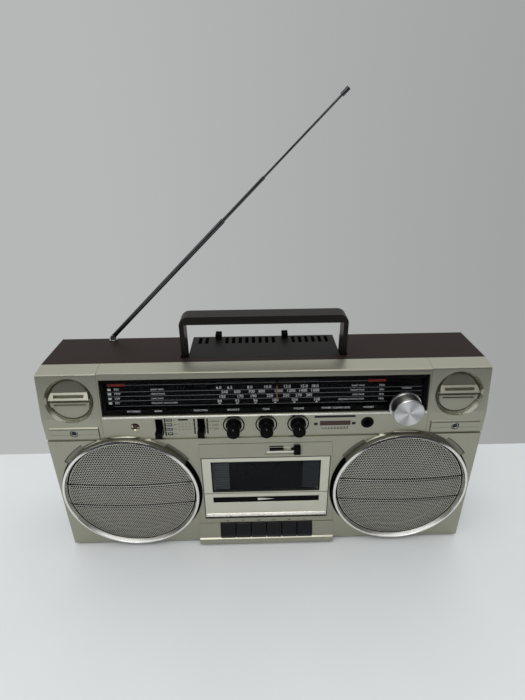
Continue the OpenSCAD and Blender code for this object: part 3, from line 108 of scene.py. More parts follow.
def add(tree, kind, settings=None, inputs=None):
    """Adds one node, with its settings and its sockets' values or links."""
    made = tree.nodes.new(kind)
    for name, value in (settings or {}).items():
        setattr(made, name, value)
    for name, value in (inputs or {}).items():
        if isinstance(value, bpy.types.NodeSocket):
            tree.links.new(value, made.inputs[name])
        else:
            made.inputs[name].default_value = value
    return made


def start(name):
    """A new material with its shader, and the piece's own coordinates."""
    made = bpy.data.materials.new(name)
    made.use_nodes = True
    tree = made.node_tree
    shader = tree.nodes["Principled BSDF"]
    place = add(tree, "ShaderNodeTexCoord").outputs["Object"]
    return made, tree, shader, place


def two_tone(tree, factor, low, high, first=0.35, last=0.65):
    """A ramp between two colours, as a colour socket."""
    ramp = add(tree, "ShaderNodeValToRGB", None, {"Fac": factor})
    ramp.color_ramp.elements[0].position = first
    ramp.color_ramp.elements[0].color = low
    ramp.color_ramp.elements[1].position = last
    ramp.color_ramp.elements[1].color = high
    return ramp.outputs["Color"]


PATCH = 55.0  # width of a soft patch of gloss, mm


def grained(name, low, high, grain, rough, bump, metal=0.0, spread=0.12, shine=0.5, alpha=1.0):
    """A surface with a fine grain in mm, soft patches of gloss, and a bump in mm."""
    made, tree, shader, place = start(name)
    fine = add(tree, "ShaderNodeTexNoise", None, {"Vector": place, "Scale": 1 / (grain * MM), "Detail": 3.0})
    wide = add(tree, "ShaderNodeTexNoise", None, {"Vector": place, "Scale": 1 / (PATCH * MM), "Detail": 4.0})
    both = add(tree, "ShaderNodeMath", {"operation": "MULTIPLY_ADD"}, {0: fine.outputs["Fac"], 1: 0.7})
    tree.links.new(add(tree, "ShaderNodeMath", {"operation": "MULTIPLY"}, {0: wide.outputs["Fac"], 1: 0.3})
                   .outputs["Value"], both.inputs[2])
    tree.links.new(two_tone(tree, both.outputs["Value"], low, high), shader.inputs["Base Color"])
    gloss = add(tree, "ShaderNodeMapRange", None, {"Value": both.outputs["Value"], "From Min": 0.3, "From Max": 0.7,
                                                   "To Min": rough - spread / 2, "To Max": rough + spread / 2})
    tree.links.new(gloss.outputs["Result"], shader.inputs["Roughness"])
    shader.inputs["Metallic"].default_value = metal
    shader.inputs["Specular IOR Level"].default_value = shine
    shader.inputs["Alpha"].default_value = alpha
    relief = add(tree, "ShaderNodeBump", None, {"Height": fine.outputs["Fac"], "Strength": 0.5, "Distance": bump * MM})
    tree.links.new(relief.outputs["Normal"], shader.inputs["Normal"])
    return made


def champagne_paint():
    # Metallic paint sprayed on moulded ABS: a warm grey silver that mirrors light and dark softly, with fine flake
    tint = plain(bpy.context.scene.radio_finish.front)
    return grained("champagne_paint_on_abs", plain(tint, 0.94), tint, 0.9, 0.34, 0.01, 0.85)


def dish_paint():
    # The same metallic paint over a polished dish: it throws light and dark more sharply than the flat panels
    tint = plain(bpy.context.scene.radio_finish.front)
    return grained("polished_champagne_paint", tint, plain(tint, 1.15), 0.9, 0.2, 0.004, 0.9)


def brown_abs():
    # ABS moulded against an etched tool: dark brown, with fine ribs that break up the highlights;
    # the real ribs are about 1 mm apart and are drawn 2 mm apart so that they show
    made, tree, shader, place = start("brown_abs_ribbed")
    tint = plain(bpy.context.scene.radio_finish.rear)
    fine = add(tree, "ShaderNodeTexNoise", None, {"Vector": place, "Scale": 1 / (1.2 * MM), "Detail": 4.0})
    rows = add(tree, "ShaderNodeTexWave", {"bands_direction": "X", "wave_profile": "SIN"},
               {"Vector": place, "Scale": math.pi / 10 / (2.0 * MM), "Distortion": 0.0})
    mixed = add(tree, "ShaderNodeMath", {"operation": "MULTIPLY_ADD"},
                {0: rows.outputs["Fac"], 1: 0.45, 2: fine.outputs["Fac"]})
    tree.links.new(two_tone(tree, mixed.outputs["Value"], plain(tint, 0.55), tint, 0.3, 0.95),
                   shader.inputs["Base Color"])
    gloss = add(tree, "ShaderNodeMapRange", None, {"Value": fine.outputs["Fac"], "To Min": 0.42, "To Max": 0.6})
    tree.links.new(gloss.outputs["Result"], shader.inputs["Roughness"])
    shader.inputs["Specular IOR Level"].default_value = 0.15
    relief = add(tree, "ShaderNodeBump", None, {"Height": mixed.outputs["Value"], "Strength": 0.5,
                                                "Distance": 0.2 * MM})
    tree.links.new(relief.outputs["Normal"], shader.inputs["Normal"])
    return made


def grille_paint():
    # Punched steel sheet with silver-grey paint: even and dull, with painted shade darkening it along its two folds
    made = grained("painted_punched_steel", linear("#C2C1B6"), linear("#D0CFC4"), 1.0, 0.4, 0.01, 0.7)
    tree = made.node_tree
    shader = tree.nodes["Principled BSDF"]
    paint = shader.inputs["Base Color"].links[0].from_socket
    centre = middle("speaker_grille_left")[1]
    parts = add(tree, "ShaderNodeSeparateXYZ", None, {"Vector": add(tree, "ShaderNodeTexCoord").outputs["Object"]})
    away = []
    for fold in (14.7, -12.7):
        gap = add(tree, "ShaderNodeMath", {"operation": "SUBTRACT"}, {0: parts.outputs["Z"], 1: centre + fold * MM})
        size = add(tree, "ShaderNodeMath", {"operation": "ABSOLUTE"}, {0: gap.outputs["Value"]})
        away.append(size.outputs["Value"])
    near = add(tree, "ShaderNodeMath", {"operation": "MINIMUM"}, {0: away[0], 1: away[1]})
    # Painted shade: the sheet goes near-black right at each fold and fades back to its paint within 1.3 mm
    painted_fold_shade = add(tree, "ShaderNodeMapRange", {"interpolation_type": "SMOOTHSTEP"},
               {"Value": near.outputs["Value"], "From Min": 0.5 * MM, "From Max": 1.3 * MM,
                "To Min": 1.0, "To Max": 0.0})
    mixed = add(tree, "ShaderNodeMix", {"data_type": "RGBA"},
                {0: painted_fold_shade.outputs["Result"], 6: paint, 7: linear("#262622")})
    tree.links.new(mixed.outputs[2], shader.inputs["Base Color"])
    return made


def spun_aluminium():
    # Aluminium face turned on a lathe: rings of fine grooves, with the bright and dark sectors that they fan the light
    # into put into its colour as a painted reflection
    made, tree, shader, place = start("spun_aluminium")
    across, up = middle("tuning_knob")
    moved = add(tree, "ShaderNodeMapping", None, {"Vector": place, "Location": [-across, 0.0, -up]})
    flat = add(tree, "ShaderNodeVectorMath", {"operation": "MULTIPLY"}, {0: moved.outputs["Vector"], 1: (1, 0, 1)})
    reach = add(tree, "ShaderNodeVectorMath", {"operation": "LENGTH"}, {0: flat.outputs["Vector"]})
    rings = add(tree, "ShaderNodeTexNoise", {"noise_dimensions": "1D"},
                {"W": reach.outputs["Value"], "Scale": 1 / (0.35 * MM), "Detail": 2.0})
    parts = add(tree, "ShaderNodeSeparateXYZ", None, {"Vector": flat.outputs["Vector"]})
    turn = add(tree, "ShaderNodeMath", {"operation": "ARCTAN2"},
               {0: parts.outputs["Z"], 1: parts.outputs["X"]})
    # Painted reflection: four lighter and four darker sectors around the face, by angle
    painted_sectors = add(tree, "ShaderNodeMath", {"operation": "SINE"})
    tree.links.new(add(tree, "ShaderNodeMath", {"operation": "MULTIPLY"}, {0: turn.outputs["Value"], 1: 4.0})
                   .outputs["Value"], painted_sectors.inputs[0])
    tone = add(tree, "ShaderNodeMath", {"operation": "MULTIPLY_ADD"},
               {0: painted_sectors.outputs["Value"], 1: 0.22, 2: rings.outputs["Fac"]})
    tree.links.new(two_tone(tree, tone.outputs["Value"], linear("#9B9A9C"), linear("#D9D8D8"), 0.25, 0.75),
                   shader.inputs["Base Color"])
    gloss = add(tree, "ShaderNodeMapRange", None, {"Value": rings.outputs["Fac"], "To Min": 0.24, "To Max": 0.36})
    tree.links.new(gloss.outputs["Result"], shader.inputs["Roughness"])
    shader.inputs["Metallic"].default_value = 1.0
    relief = add(tree, "ShaderNodeBump", None, {"Height": rings.outputs["Fac"], "Strength": 0.3,
                                                "Distance": 0.02 * MM})
    tree.links.new(relief.outputs["Normal"], shader.inputs["Normal"])
    return made


def recipe(name, low, high, *values, **options):
    """One grained finish: its name, two colours, grain, roughness, bump and metal."""
    return name, linear(low), linear(high), values, options


GRAINED = {
    # Darker, duller champagne on the floors of the recessed wings beside each speaker, darker than the panel around
    # them; it also paints the shadow lines at the microphone plates' edges
    "wing_tone_and_painted_shadow": recipe("dull_champagne_and_painted_shadow", "#7D7C70", "#87867A", 0.9, 0.38, 0.01, 0.85),
    # Paler metallic paint of the cassette door, brighter than the panel around it: partly its own more silver paint,
    # partly painted light for the brighter reflection that the door shows
    "door_paint_and_painted_light": recipe("pale_champagne_and_painted_light", "#CFCEBE", "#DAD9C9", 0.9, 0.32, 0.01, 0.85),
    # Black ABS from a fine-blasted tool: a dark satin that still shows soft highlights
    "black_abs": recipe("black_abs_satin", "#0C0C0E", "#141417", 0.8, 0.4, 0.02, shine=0.35),
    # Black ABS from a polished tool: nearly black, with sharp small highlights
    "black_gloss": recipe("black_abs_polished", "#060607", "#0B0B0D", 1.5, 0.22, 0.004, spread=0.08, shine=0.05),
    # Pale blue-grey ABS of the ribbed block, clearly lighter than the deck through the smoked window
    "rib_abs": recipe("pale_blue_grey_abs", "#D6E0E6", "#E2ECF2", 1.0, 0.45, 0.02),
    # Darker blue-grey ABS of the second ribbed block, only just seen through the window
    "dim_rib_abs": recipe("blue_grey_abs", "#8C98A0", "#9AA6AE", 1.0, 0.45, 0.02),
    # Dark grey ABS plate: matt, with a light grain from handling
    "vent_abs": recipe("dark_grey_abs", "#161614", "#1D1C1A", 1.0, 0.45, 0.03, shine=0.12),
    # Dark brown ABS grip, worn a little smoother where hands hold it
    "handle_abs": recipe("dark_brown_abs_grip", "#140F0D", "#1B1512", 1.2, 0.36, 0.015, shine=0.16),
    # Screen-printed black acrylic plate: deep black and even
    "dial_plate": recipe("black_printed_acrylic", "#020203", "#040405", 2.0, 0.35, 0.002, shine=0.08),
    # Orange-red acrylic edge of the pointer, bright against the black plate
    "orange_acrylic": recipe("orange_red_acrylic", "#8A4630", "#9E553C", 2.0, 0.3, 0.002),
    # Deep red transparent cover, dark until a lamp behind it is lit
    "red_acrylic": recipe("deep_red_acrylic", "#2C0F0D", "#431A17", 1.5, 0.18, 0.002),
    # Vacuum-plated reflector dish: bright with a warm tint
    "lamp_chrome": recipe("plated_reflector", "#A89F8C", "#C2BBA8", 2.0, 0.16, 0.003, 1.0),
    # Off-white moulded acetal: slightly waxy
    "ivory_acetal": recipe("ivory_acetal", "#CFCBBD", "#DBD8CC", 1.5, 0.38, 0.01),
    # Twisted dial cord: pale tan, with the twist drawn at its real 0.8 mm pitch
    "dial_string": recipe("twisted_dial_cord", "#8D7C5E", "#BBAA88", 0.8, 0.8, 0.1),
    # Turned aluminium trim with a clear-anodised satin face: pale silver with a soft broad gleam
    "satin_ring": recipe("satin_anodised_aluminium", "#EAE9E3", "#F4F3EF", 1.1, 0.15, 0.003, 1.0),
    # Chromium plate on brass or ABS: a hard mirror with faint handling haze
    "chrome_plate": recipe("chrome_plate", "#C6C6C8", "#D6D6D8", 6.0, 0.1, 0.001, 1.0, spread=0.06),
    # Chromium plate of the aerial's tubes, painted darker for the dark room that it mirrors: a painted dark reflection,
    # a grey mirror with thin bright lines
    "aerial_chrome_painted_dark": recipe("chrome_with_painted_dark_reflection", "#4B4B4E", "#58585B", 6.0, 0.12, 0.001, 1.0, spread=0.06),
    # Zinc-plated pressed steel: cool grey, with a faint spangle
    "zinc_steel": recipe("zinc_plated_steel", "#8D9093", "#A7AAAC", 3.0, 0.36, 0.005, 1.0),
    # Black-passivated steel of the speaker baskets and transformer
    "dark_steel": recipe("dark_passivated_steel", "#33343A", "#45464B", 2.0, 0.45, 0.01, 0.7),
    # Pressed paper pulp: dark and fibrous, with no gloss
    "pulp_paper": recipe("pressed_paper_pulp", "#161513", "#24221E", 1.6, 0.9, 0.15),
    # Turned brass: yellow, with a light tool haze
    "turned_brass": recipe("turned_brass", "#A88A44", "#C6A55A", 1.2, 0.28, 0.004, 1.0),
    # Matt black sheets in the gaps around each speaker: painted shade, with no gloss at all, so that the gaps read as
    # dark lines
    "painted_shade_black": recipe("painted_shade_black", "#060606", "#0D0D0C", 1.0, 0.95, 0.1, shine=0.05),
    # Moulded rubber: matt black with a dusty bloom; it also paints the shadow in the gaps around the cassette door
    "black_rubber": recipe("moulded_rubber", "#121212", "#1E1E1D", 1.0, 0.8, 0.05),
    # Paper phenolic board: amber brown, with darker fibres
    "phenolic_board": recipe("phenolic_board", "#5A3F1E", "#7A5A30", 1.4, 0.5, 0.02),
    # Screen-printed ink: an even light grey that is a little thinner in places
    "white_ink": recipe("pale_grey_ink", "#DCDEDE", "#EAECEC", 1.0, 0.6, 0.002),
    # Thin grey ink of the dial's long lines
    "line_ink": recipe("grey_ink", "#77797C", "#8A8C8F", 1.0, 0.6, 0.002),
    # Red screen-printed ink of the two mark blocks
    "red_ink": recipe("red_ink", "#7E1513", "#9B1D19", 1.0, 0.5, 0.002),
    # Black ink printed on the silver panel
    "black_ink": recipe("black_ink", "#0B0B0D", "#141416", 1.0, 0.5, 0.002, shine=0.3),
    # Hot-stamped bright foil: nearly white where it faces the light; it also paints the highlight along the dial's foot
    "bright_foil": recipe("hot_stamped_foil", "#D4D3CA", "#E4E3DC", 2.0, 0.22, 0.002, 0.85),
    # Clear cast acrylic: it shows what is behind it and adds a faint gloss
    "clear_acrylic": recipe("clear_acrylic", "#060607", "#0A0A0B", 30.0, 0.08, 0.001, spread=0.03, shine=0.25,
                            alpha=0.05),
    # Smoked acrylic: dark blue-grey, with the deck showing faintly behind its gloss
    "smoked_acrylic": recipe("smoked_acrylic", "#05070A", "#080C11", 25.0, 0.1, 0.001, spread=0.04, shine=0.18,
                             alpha=0.48),
}
DRAWN = {f.__name__: f for f in (champagne_paint, dish_paint, brown_abs, grille_paint, spun_aluminium)}
MADE = {}


def finish(name):
    """The material of that finish, made the first time that it is asked for."""
    if name not in MADE:
        if name in GRAINED:
            label, low, high, values, options = GRAINED[name]
            MADE[name] = grained(label, low, high, *values, **options)
        else:
            MADE[name] = DRAWN[name]()
    return MADE[name]


# Modelling steps


def pick(obj):
    """Leaves only this object selected and active."""
    bpy.ops.object.select_all(action="DESELECT")
    obj.select_set(True)
    bpy.context.view_layer.objects.active = obj


def settle(obj):
    """Puts the object's place, turn and size into its mesh."""
    pick(obj)
    bpy.ops.object.transform_apply(location=True, rotation=True, scale=True)
    return obj


def edit_all():
    """Edit mode with everything selected."""
    bpy.ops.object.mode_set(mode="EDIT")
    bpy.ops.mesh.select_all(action="SELECT")


def close_outward():
    """Turns all faces outward and leaves edit mode."""
    bpy.ops.mesh.select_all(action="SELECT")
    bpy.ops.mesh.normals_make_consistent(inside=False)
    bpy.ops.object.mode_set(mode="OBJECT")


def block(name, low, high, edge=0.0, steps=2):
    """A block between two corners with its edges rounded by edge mm."""
    bpy.ops.object.select_all(action="DESELECT")
    low, high = Vector(low), Vector(high)
    bpy.ops.mesh.primitive_cube_add(size=1, location=(low + high) / 2)
    made = bpy.context.object
    made.name = name
    made.scale = high - low
    settle(made)
    if edge:
        edit_all()
        bpy.ops.mesh.bevel(offset=edge * MM, segments=steps, affect="EDGES")
        bpy.ops.object.mode_set(mode="OBJECT")
    return made


def turned(name, centre, outline, sides=48):
    """A shape turned about the y axis: radius and depth in mm, from its first ring to its last."""
    bpy.ops.object.select_all(action="DESELECT")
    first = max(outline[0][0], 0.01)
    place = Vector(centre) + Vector((0, outline[0][1] * MM, 0))
    bpy.ops.mesh.primitive_circle_add(vertices=sides, radius=first * MM, location=place,
                                      rotation=(math.pi / 2, 0, 0))
    made = bpy.context.object
    made.name = name
    settle(made)
    edit_all()
    for (r0, y0), (r1, y1) in zip(outline, outline[1:]):
        bpy.ops.mesh.extrude_region_move(TRANSFORM_OT_translate={"value": (0, (y1 - y0) * MM, 0)})
        k = max(r1, 0.01) / max(r0, 0.01)
        bpy.ops.transform.resize(value=(k, 1, k), center_override=Vector(centre) + Vector((0, y1 * MM, 0)))
    bpy.ops.mesh.select_all(action="SELECT")
    bpy.ops.mesh.remove_doubles(threshold=1e-7)
    bpy.ops.mesh.select_all(action="DESELECT")
    bpy.ops.mesh.select_non_manifold(extend=False)
    if outline[0] != outline[-1]:
        bpy.ops.mesh.fill_holes(sides=0)
    close_outward()
    return made


def arc(name, centre, radii, depths, first, sweep):
    """A curved strip about the y axis: radii and depths in mm, angles in degrees up from the right."""
    bpy.ops.object.select_all(action="DESELECT")
    bpy.ops.mesh.primitive_plane_add(size=1, location=(sum(radii) / 2 * MM, sum(depths) / 2 * MM, 0))
    made = bpy.context.object
    made.name = name
    made.scale = ((radii[1] - radii[0]) * MM, (depths[1] - depths[0]) * MM, 1)
    settle(made)
    edit_all()
    bpy.ops.mesh.spin(steps=max(4, round(sweep / 2)), angle=math.radians(sweep), center=(0, 0, 0), axis=(0, 1, 0))
    close_outward()
    made.rotation_euler = (0, -math.radians(first), 0)
    made.location = centre
    return settle(made)


def softened(node, edge, steps=2, rounds=()):
    """A copy of a CAD node with its sharp edges rounded by edge mm, and chosen lines rounded more."""
    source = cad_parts[node]
    made = source.copy()
    made.data = source.data.copy()
    made.name = node + "_piece"
    for key in list(made.keys()):
        del made[key]
    made.parent = None
    bpy.context.scene.collection.objects.link(made)
    pick(made)
    bpy.ops.mesh.customdata_custom_splitnormals_clear()
    edit_all()
    bpy.ops.mesh.remove_doubles(threshold=2e-6)
    bpy.ops.mesh.dissolve_degenerate(threshold=5e-6)
    bpy.ops.mesh.dissolve_limited(angle_limit=math.radians(0.6))
    for test, width in rounds:
        bpy.ops.mesh.select_mode(type="EDGE")
        bpy.ops.mesh.select_all(action="DESELECT")
        shape = bmesh.from_edit_mesh(made.data)
        for line in shape.edges:
            line.select = all(test(v.co) for v in line.verts)
        bmesh.update_edit_mesh(made.data)
        bpy.ops.mesh.bevel(offset=width * MM, segments=4, affect="EDGES", clamp_overlap=True)
    bpy.ops.object.mode_set(mode="OBJECT")
    if edge:
        soft = made.modifiers.new("edges", "BEVEL")
        soft.width = edge * MM
        soft.segments = steps
        soft.limit_method = "ANGLE"
        soft.angle_limit = SMOOTH_ANGLE
        soft.use_clamp_overlap = True
        bpy.ops.object.modifier_apply(modifier=soft.name)
    return made


def seat(obj, body, slot, look, *nodes):
    """Smooths a finished piece, gives it its finish and puts it on its body."""
    pick(obj)
    bpy.ops.object.shade_smooth_by_angle(angle=SMOOTH_ANGLE)
    if len(obj.data.polygons) < FINE_PIECE:
        flats = obj.modifiers.new("flats", "WEIGHTED_NORMAL")
        flats.keep_sharp = True
        bpy.ops.object.modifier_apply(modifier=flats.name)
    obj.data.materials.clear()
    obj.data.materials.append(finish(look))
    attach(obj, body)
    if nodes:
        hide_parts(*nodes)
    return obj


def dress(node, edge, body, slot, look, steps=2):
    """Puts a softened copy in place of a CAD node."""
    return seat(softened(node, edge, steps), body, slot, look, node)


def joined(name, pieces):
    """Several meshes as one."""
    bpy.ops.object.select_all(action="DESELECT")
    for piece in pieces:
        piece.select_set(True)
    bpy.context.view_layer.objects.active = pieces[0]
    if len(pieces) > 1:
        bpy.ops.object.join()
    made = bpy.context.view_layer.objects.active
    made.name = name
    return made


def word(text, place, height, tilt=0.0, align="CENTER", squeeze=1.0):
    """Printed lettering as a flat mesh, height mm high, facing forward."""
    bpy.ops.object.select_all(action="DESELECT")
    bpy.ops.object.text_add(location=(0, 0, 0))
    made = bpy.context.object
    made.data.body = text
    made.data.size = height * MM / 0.73
    made.data.align_x = align
    made.data.align_y = "CENTER"
    made.data.resolution_u = 2
    bpy.ops.object.convert(target="MESH")
    made = bpy.context.object
    made.scale = (squeeze, 1, 1)
    made.rotation_euler = (math.pi / 2 - tilt, 0, 0)
    made.location = place
    return settle(made)


def mark(place, wide, high, tilt=0.0, thick=0.06):
    """A printed bar, a thin slab facing forward."""
    edge = min(thick, 0.3 * wide, 0.3 * high) * 0.4
    made = block("mark", (-wide * MM / 2, -thick * MM, -high * MM / 2), (wide * MM / 2, 0, high * MM / 2), edge, 1)
    made.rotation_euler = (-tilt, 0, 0)
    made.location = place
    return settle(made)


def inked(x, z, wide, high):
    """A printed bar on the front panel."""
    return mark(at(x, PRINT_Y, z), wide, high)


def arrow(place, wide, high, thick=0.06):
    """A printed triangle that points right."""
    bpy.ops.object.select_all(action="DESELECT")
    bpy.ops.mesh.primitive_circle_add(vertices=3, radius=1, fill_type="NGON")
    made = bpy.context.object
    for corner, (x, z) in zip(made.data.vertices, ((wide / 2, 0), (-wide / 2, high / 2), (-wide / 2, -high / 2))):
        corner.co = (x * MM, 0, z * MM)
    edit_all()
    bpy.ops.mesh.extrude_region_move(TRANSFORM_OT_translate={"value": (0, -thick * MM, 0)})
    close_outward()
    made.location = place
    return settle(made)


# Sizes and colours that a user would change


def colour_property(name, description, code):
    """A colour property."""
    return bpy.props.FloatVectorProperty(name=name, description=description, subtype="COLOR", size=3, min=0, max=1,
                                         default=linear(code)[:3])


class RadioFinish(bpy.types.PropertyGroup):
    """Colours of the cabinet and its surroundings"""
    front: colour_property("Front", "Champagne silver of the front and its panels", "#A5A494")
    rear: colour_property("Rear", "Brown of the rear shell", "#281C18")
    wall: colour_property("Wall", "Pale wall behind the table", "#B6B8B7")
    table: colour_property("Table", "White table top", "#E2E5E5")


class RadioSizes(bpy.types.PropertyGroup):
    """Sizes of the pieces that are modelled here"""
    pitch: bpy.props.FloatProperty(name="Hole pitch", description="Distance between the grille's holes",
                                   unit="LENGTH", default=2.45 * MM, min=1.5 * MM, max=6 * MM)
    hole: bpy.props.FloatProperty(name="Hole radius", description="Radius of a grille hole", unit="LENGTH",
                                  default=1.06 * MM, min=0.3 * MM, max=2 * MM)
    digit: bpy.props.FloatProperty(name="Digit height", description="Height of the dial's numbers, in mm",
                                   default=3.1, min=1, max=5)
    edge: bpy.props.FloatProperty(name="Edge", description="Rounding of moulded edges, in mm", default=0.35,
                                  min=0.05, max=1)


# Pieces


class RADIO_OT_cabinet(bpy.types.Operator):
    """Silver front shell and corner panels, and the brown rear shell"""
    bl_idname = "radio.cabinet"
    bl_label = "Cabinet"

    def line(self, place):
        """A test for the points of the edge that runs across through a place."""
        return lambda p: abs(p.y - place.y) < 0.3 * MM and abs(p.z - place.z) < 0.3 * MM

    def paint_dishes(self, piece):
        """Gives the walls of the two tweeter dishes their own paint."""
        piece.data.materials.append(finish("dish_paint"))
        for x in (-CORNER_X, CORNER_X):
            centre = on_dial(x, 0, TWEETER_UP)
            axis = (on_dial(x, -1, TWEETER_UP) - centre).normalized()
            for face in piece.data.polygons:
                away = face.center - centre
                if (away - axis * away.dot(axis)).length < 23.5 * MM and abs(face.normal.dot(axis)) < 0.95:
                    face.material_index = 1

    def execute(self, context):
        edge = context.scene.radio_sizes.edge
        rounds = ((self.line(at(0, 7.6, 211.3)), 1.6), (self.line(at(0, -1.6, 155.5)), 1.1))
        for node in ("front_cabinet", "corner_panel_left", "corner_panel_right"):
            piece = softened(node, edge, rounds=rounds)
            seat(piece, "cabinet", "silver_plastic", "champagne_paint", node)
            self.paint_dishes(piece)
        dress("rear_cabinet", edge, "cabinet", "brown_plastic", "brown_abs")
        dress("battery_cover", edge, "battery_cover", "brown_plastic", "brown_abs")
        dress("top_grille", edge, "cabinet", "black_plastic", "vent_abs")
        dress("feet", 0.3, "cabinet", "rubber", "black_rubber")
        dress("mains_inlet", 0.3, "cabinet", "black_plastic", "black_abs")
        return {"FINISHED"}


class RADIO_OT_speakers(bpy.types.Operator):
    """Punched, domed grilles with their rings, and the tweeters"""
    bl_idname = "radio.speakers"
    bl_label = "Speakers"

    def sheet(self, name, centre, sizes):
        """A punched sheet: one six-sided cell with a round hole, laid out in rows and cut to a disc."""
        radius, rise, crease, fold = 65.1 * MM, 4.3 * MM, 13.7 * MM, 1.4 * MM
        pitch, hole = sizes.pitch, sizes.hole
        bpy.ops.object.select_all(action="DESELECT")
        bpy.ops.mesh.primitive_circle_add(vertices=12, radius=pitch / math.sqrt(3), fill_type="NGON")
        made = bpy.context.object
        made.name = name
        for i, corner in enumerate(made.data.vertices):
            reach = pitch / math.sqrt(3) if i % 2 == 0 else pitch / 2
            turn = math.radians(30 * i)
            corner.co = (reach * math.sin(turn), 0, reach * math.cos(turn))
        edit_all()
        bpy.ops.mesh.inset(thickness=0.2 * pitch)
        cell = bmesh.from_edit_mesh(made.data)
        for corner in cell.verts:
            if corner.select:
                corner.co *= hole / corner.co.length
        bmesh.update_edit_mesh(made.data)
        bpy.ops.mesh.delete(type="FACE")
        bpy.ops.object.mode_set(mode="OBJECT")
        across = int(2 * radius / pitch) + 3
        down = int(2 * radius / (pitch * math.sqrt(3))) + 3
        for offset, count in (((pitch, 0, 0), across), ((pitch / 2, 0, pitch * math.sqrt(3) / 2), 2),
                              ((0, 0, pitch * math.sqrt(3)), down)):
            row = made.modifiers.new("row", "ARRAY")
            row.use_relative_offset = False
            row.use_constant_offset = True
            row.constant_offset_displace = offset
            row.count = count
            row.use_merge_vertices = True
            row.merge_threshold = 0.02 * MM
            bpy.ops.object.modifier_apply(modifier=row.name)
        shift = Vector((-(across - 0.5) * pitch / 2, 0, -(down - 0.5) * pitch * math.sqrt(3) / 2))
        sphere = (radius * radius + rise * rise) / (2 * rise)
        bpy.ops.object.mode_set(mode="EDIT")
        shape = bmesh.from_edit_mesh(made.data)
        for corner in shape.verts:
            corner.co += shift
        far = [f for f in shape.faces if f.calc_center_median().length > radius - 0.1 * MM]
        bmesh.ops.delete(shape, geom=far, context="FACES")
        for corner in shape.verts:
            if corner.co.length > radius:
                corner.co *= radius / corner.co.length
            reach = corner.co.length
            lift = math.sqrt(sphere * sphere - reach * reach) - sphere + rise
            near = min(abs(corner.co.z - crease), abs(corner.co.z + crease))
            lift -= fold * max(0.0, 1 - near / (1.8 * MM)) * min(1.0, (radius - reach) / (6 * MM))
            corner.co.y = -lift
        bmesh.update_edit_mesh(made.data)
        bpy.ops.object.mode_set(mode="OBJECT")
        made.location = centre
        settle(made)
        thick = made.modifiers.new("thickness", "SOLIDIFY")
        thick.thickness = 0.25 * MM
        thick.offset = -1.0
        bpy.ops.object.modifier_apply(modifier=thick.name)
        return made

    def execute(self, context):
        sizes = context.scene.radio_sizes
        for side, sign in (("left", -1), ("right", 1)):
            grille, ring = "speaker_grille_" + side, "speaker_ring_" + side
            x, z = middle(grille)
            centre = Vector((x, PANEL_Y - 1.9 * MM, z))
            sheet = self.sheet(grille + "_piece", centre, sizes)
            rim = turned("rim", centre, [(64.6, -0.12), (65.0, -0.1), (65.2, 0.1), (65.2, 0.5), (64.6, 0.5),
                                         (64.6, -0.12)], 96)
            seat(joined(grille + "_piece", [sheet, rim]), "cabinet", "silver_mesh", "grille_paint", grille)
            base = Vector((centre.x, PANEL_Y, centre.z))
            trim = turned(ring + "_piece", base, [(66.3, -2.1), (67.7, -5.7), (67.9, -6.0), (68.2, -6.1),
                                                  (70.15, -5.35), (70.3, -5.2), (68.7, -5.2), (66.9, -2.1),
                                                  (66.3, -2.1)], 192)
            seat(trim, "cabinet", "bright_ring", "satin_ring", ring)
            collar = turned("ring_collar_" + side, base, [(68.6, -0.05), (70.5, -0.05), (70.5, -4.7), (70.4, -4.8),
                                                          (68.6, -4.8), (68.6, -0.05)], 192)
            seat(collar, "cabinet", "silver_plastic", "champagne_paint")
            # Painted shade: black sheets under the grille's edge, between collar and trim, on the channel floors and
            # wall beside the ring, and along the wings' outer edges
            gap_shade = turned("gap_shade", base, [(55.0, -1.35), (65.0, -1.35), (65.3, -1.7), (66.8, -1.7), (66.8, -0.9),
                                         (55.0, -0.9), (55.0, -1.35)], 96)
            groove = turned("groove", base, [(68.8, -5.18), (70.1, -5.18), (70.1, -4.82), (68.8, -4.82),
                                             (68.8, -5.18)], 192)
            outer, inner = (0, 180) if sign > 0 else (180, 0)
            floors = [arc("floor", base, (70.9, 72.1), (1.5, 1.98), outer - 33, 66),
                      arc("floor", base, (70.9, 73.4), (1.5, 1.98), inner - 33, 66),
                      arc("wall", base, (70.58, 70.8), (-4.4, 1.5), inner - 33, 66)]
            floors += [arc("edge", base, (75.3, 76.0), (0.5, 0.98), first, 21) for first in (34.5, 124.5)]
            wings = [arc("wing", base, (71.0, 75.3), (0.7, 0.98), first, 21) for first in (34.5, 124.5)]
            seat(joined("ring_wings_" + side, wings), "cabinet", "silver_plastic", "wing_tone_and_painted_shadow")
            seat(joined("ring_painted_shade_" + side, [gap_shade, groove] + floors), "cabinet", "black_plastic", "painted_shade_black")
        dress("tweeters", 0.3, "cabinet", "silver_plastic", "champagne_paint")
        return {"FINISHED"}


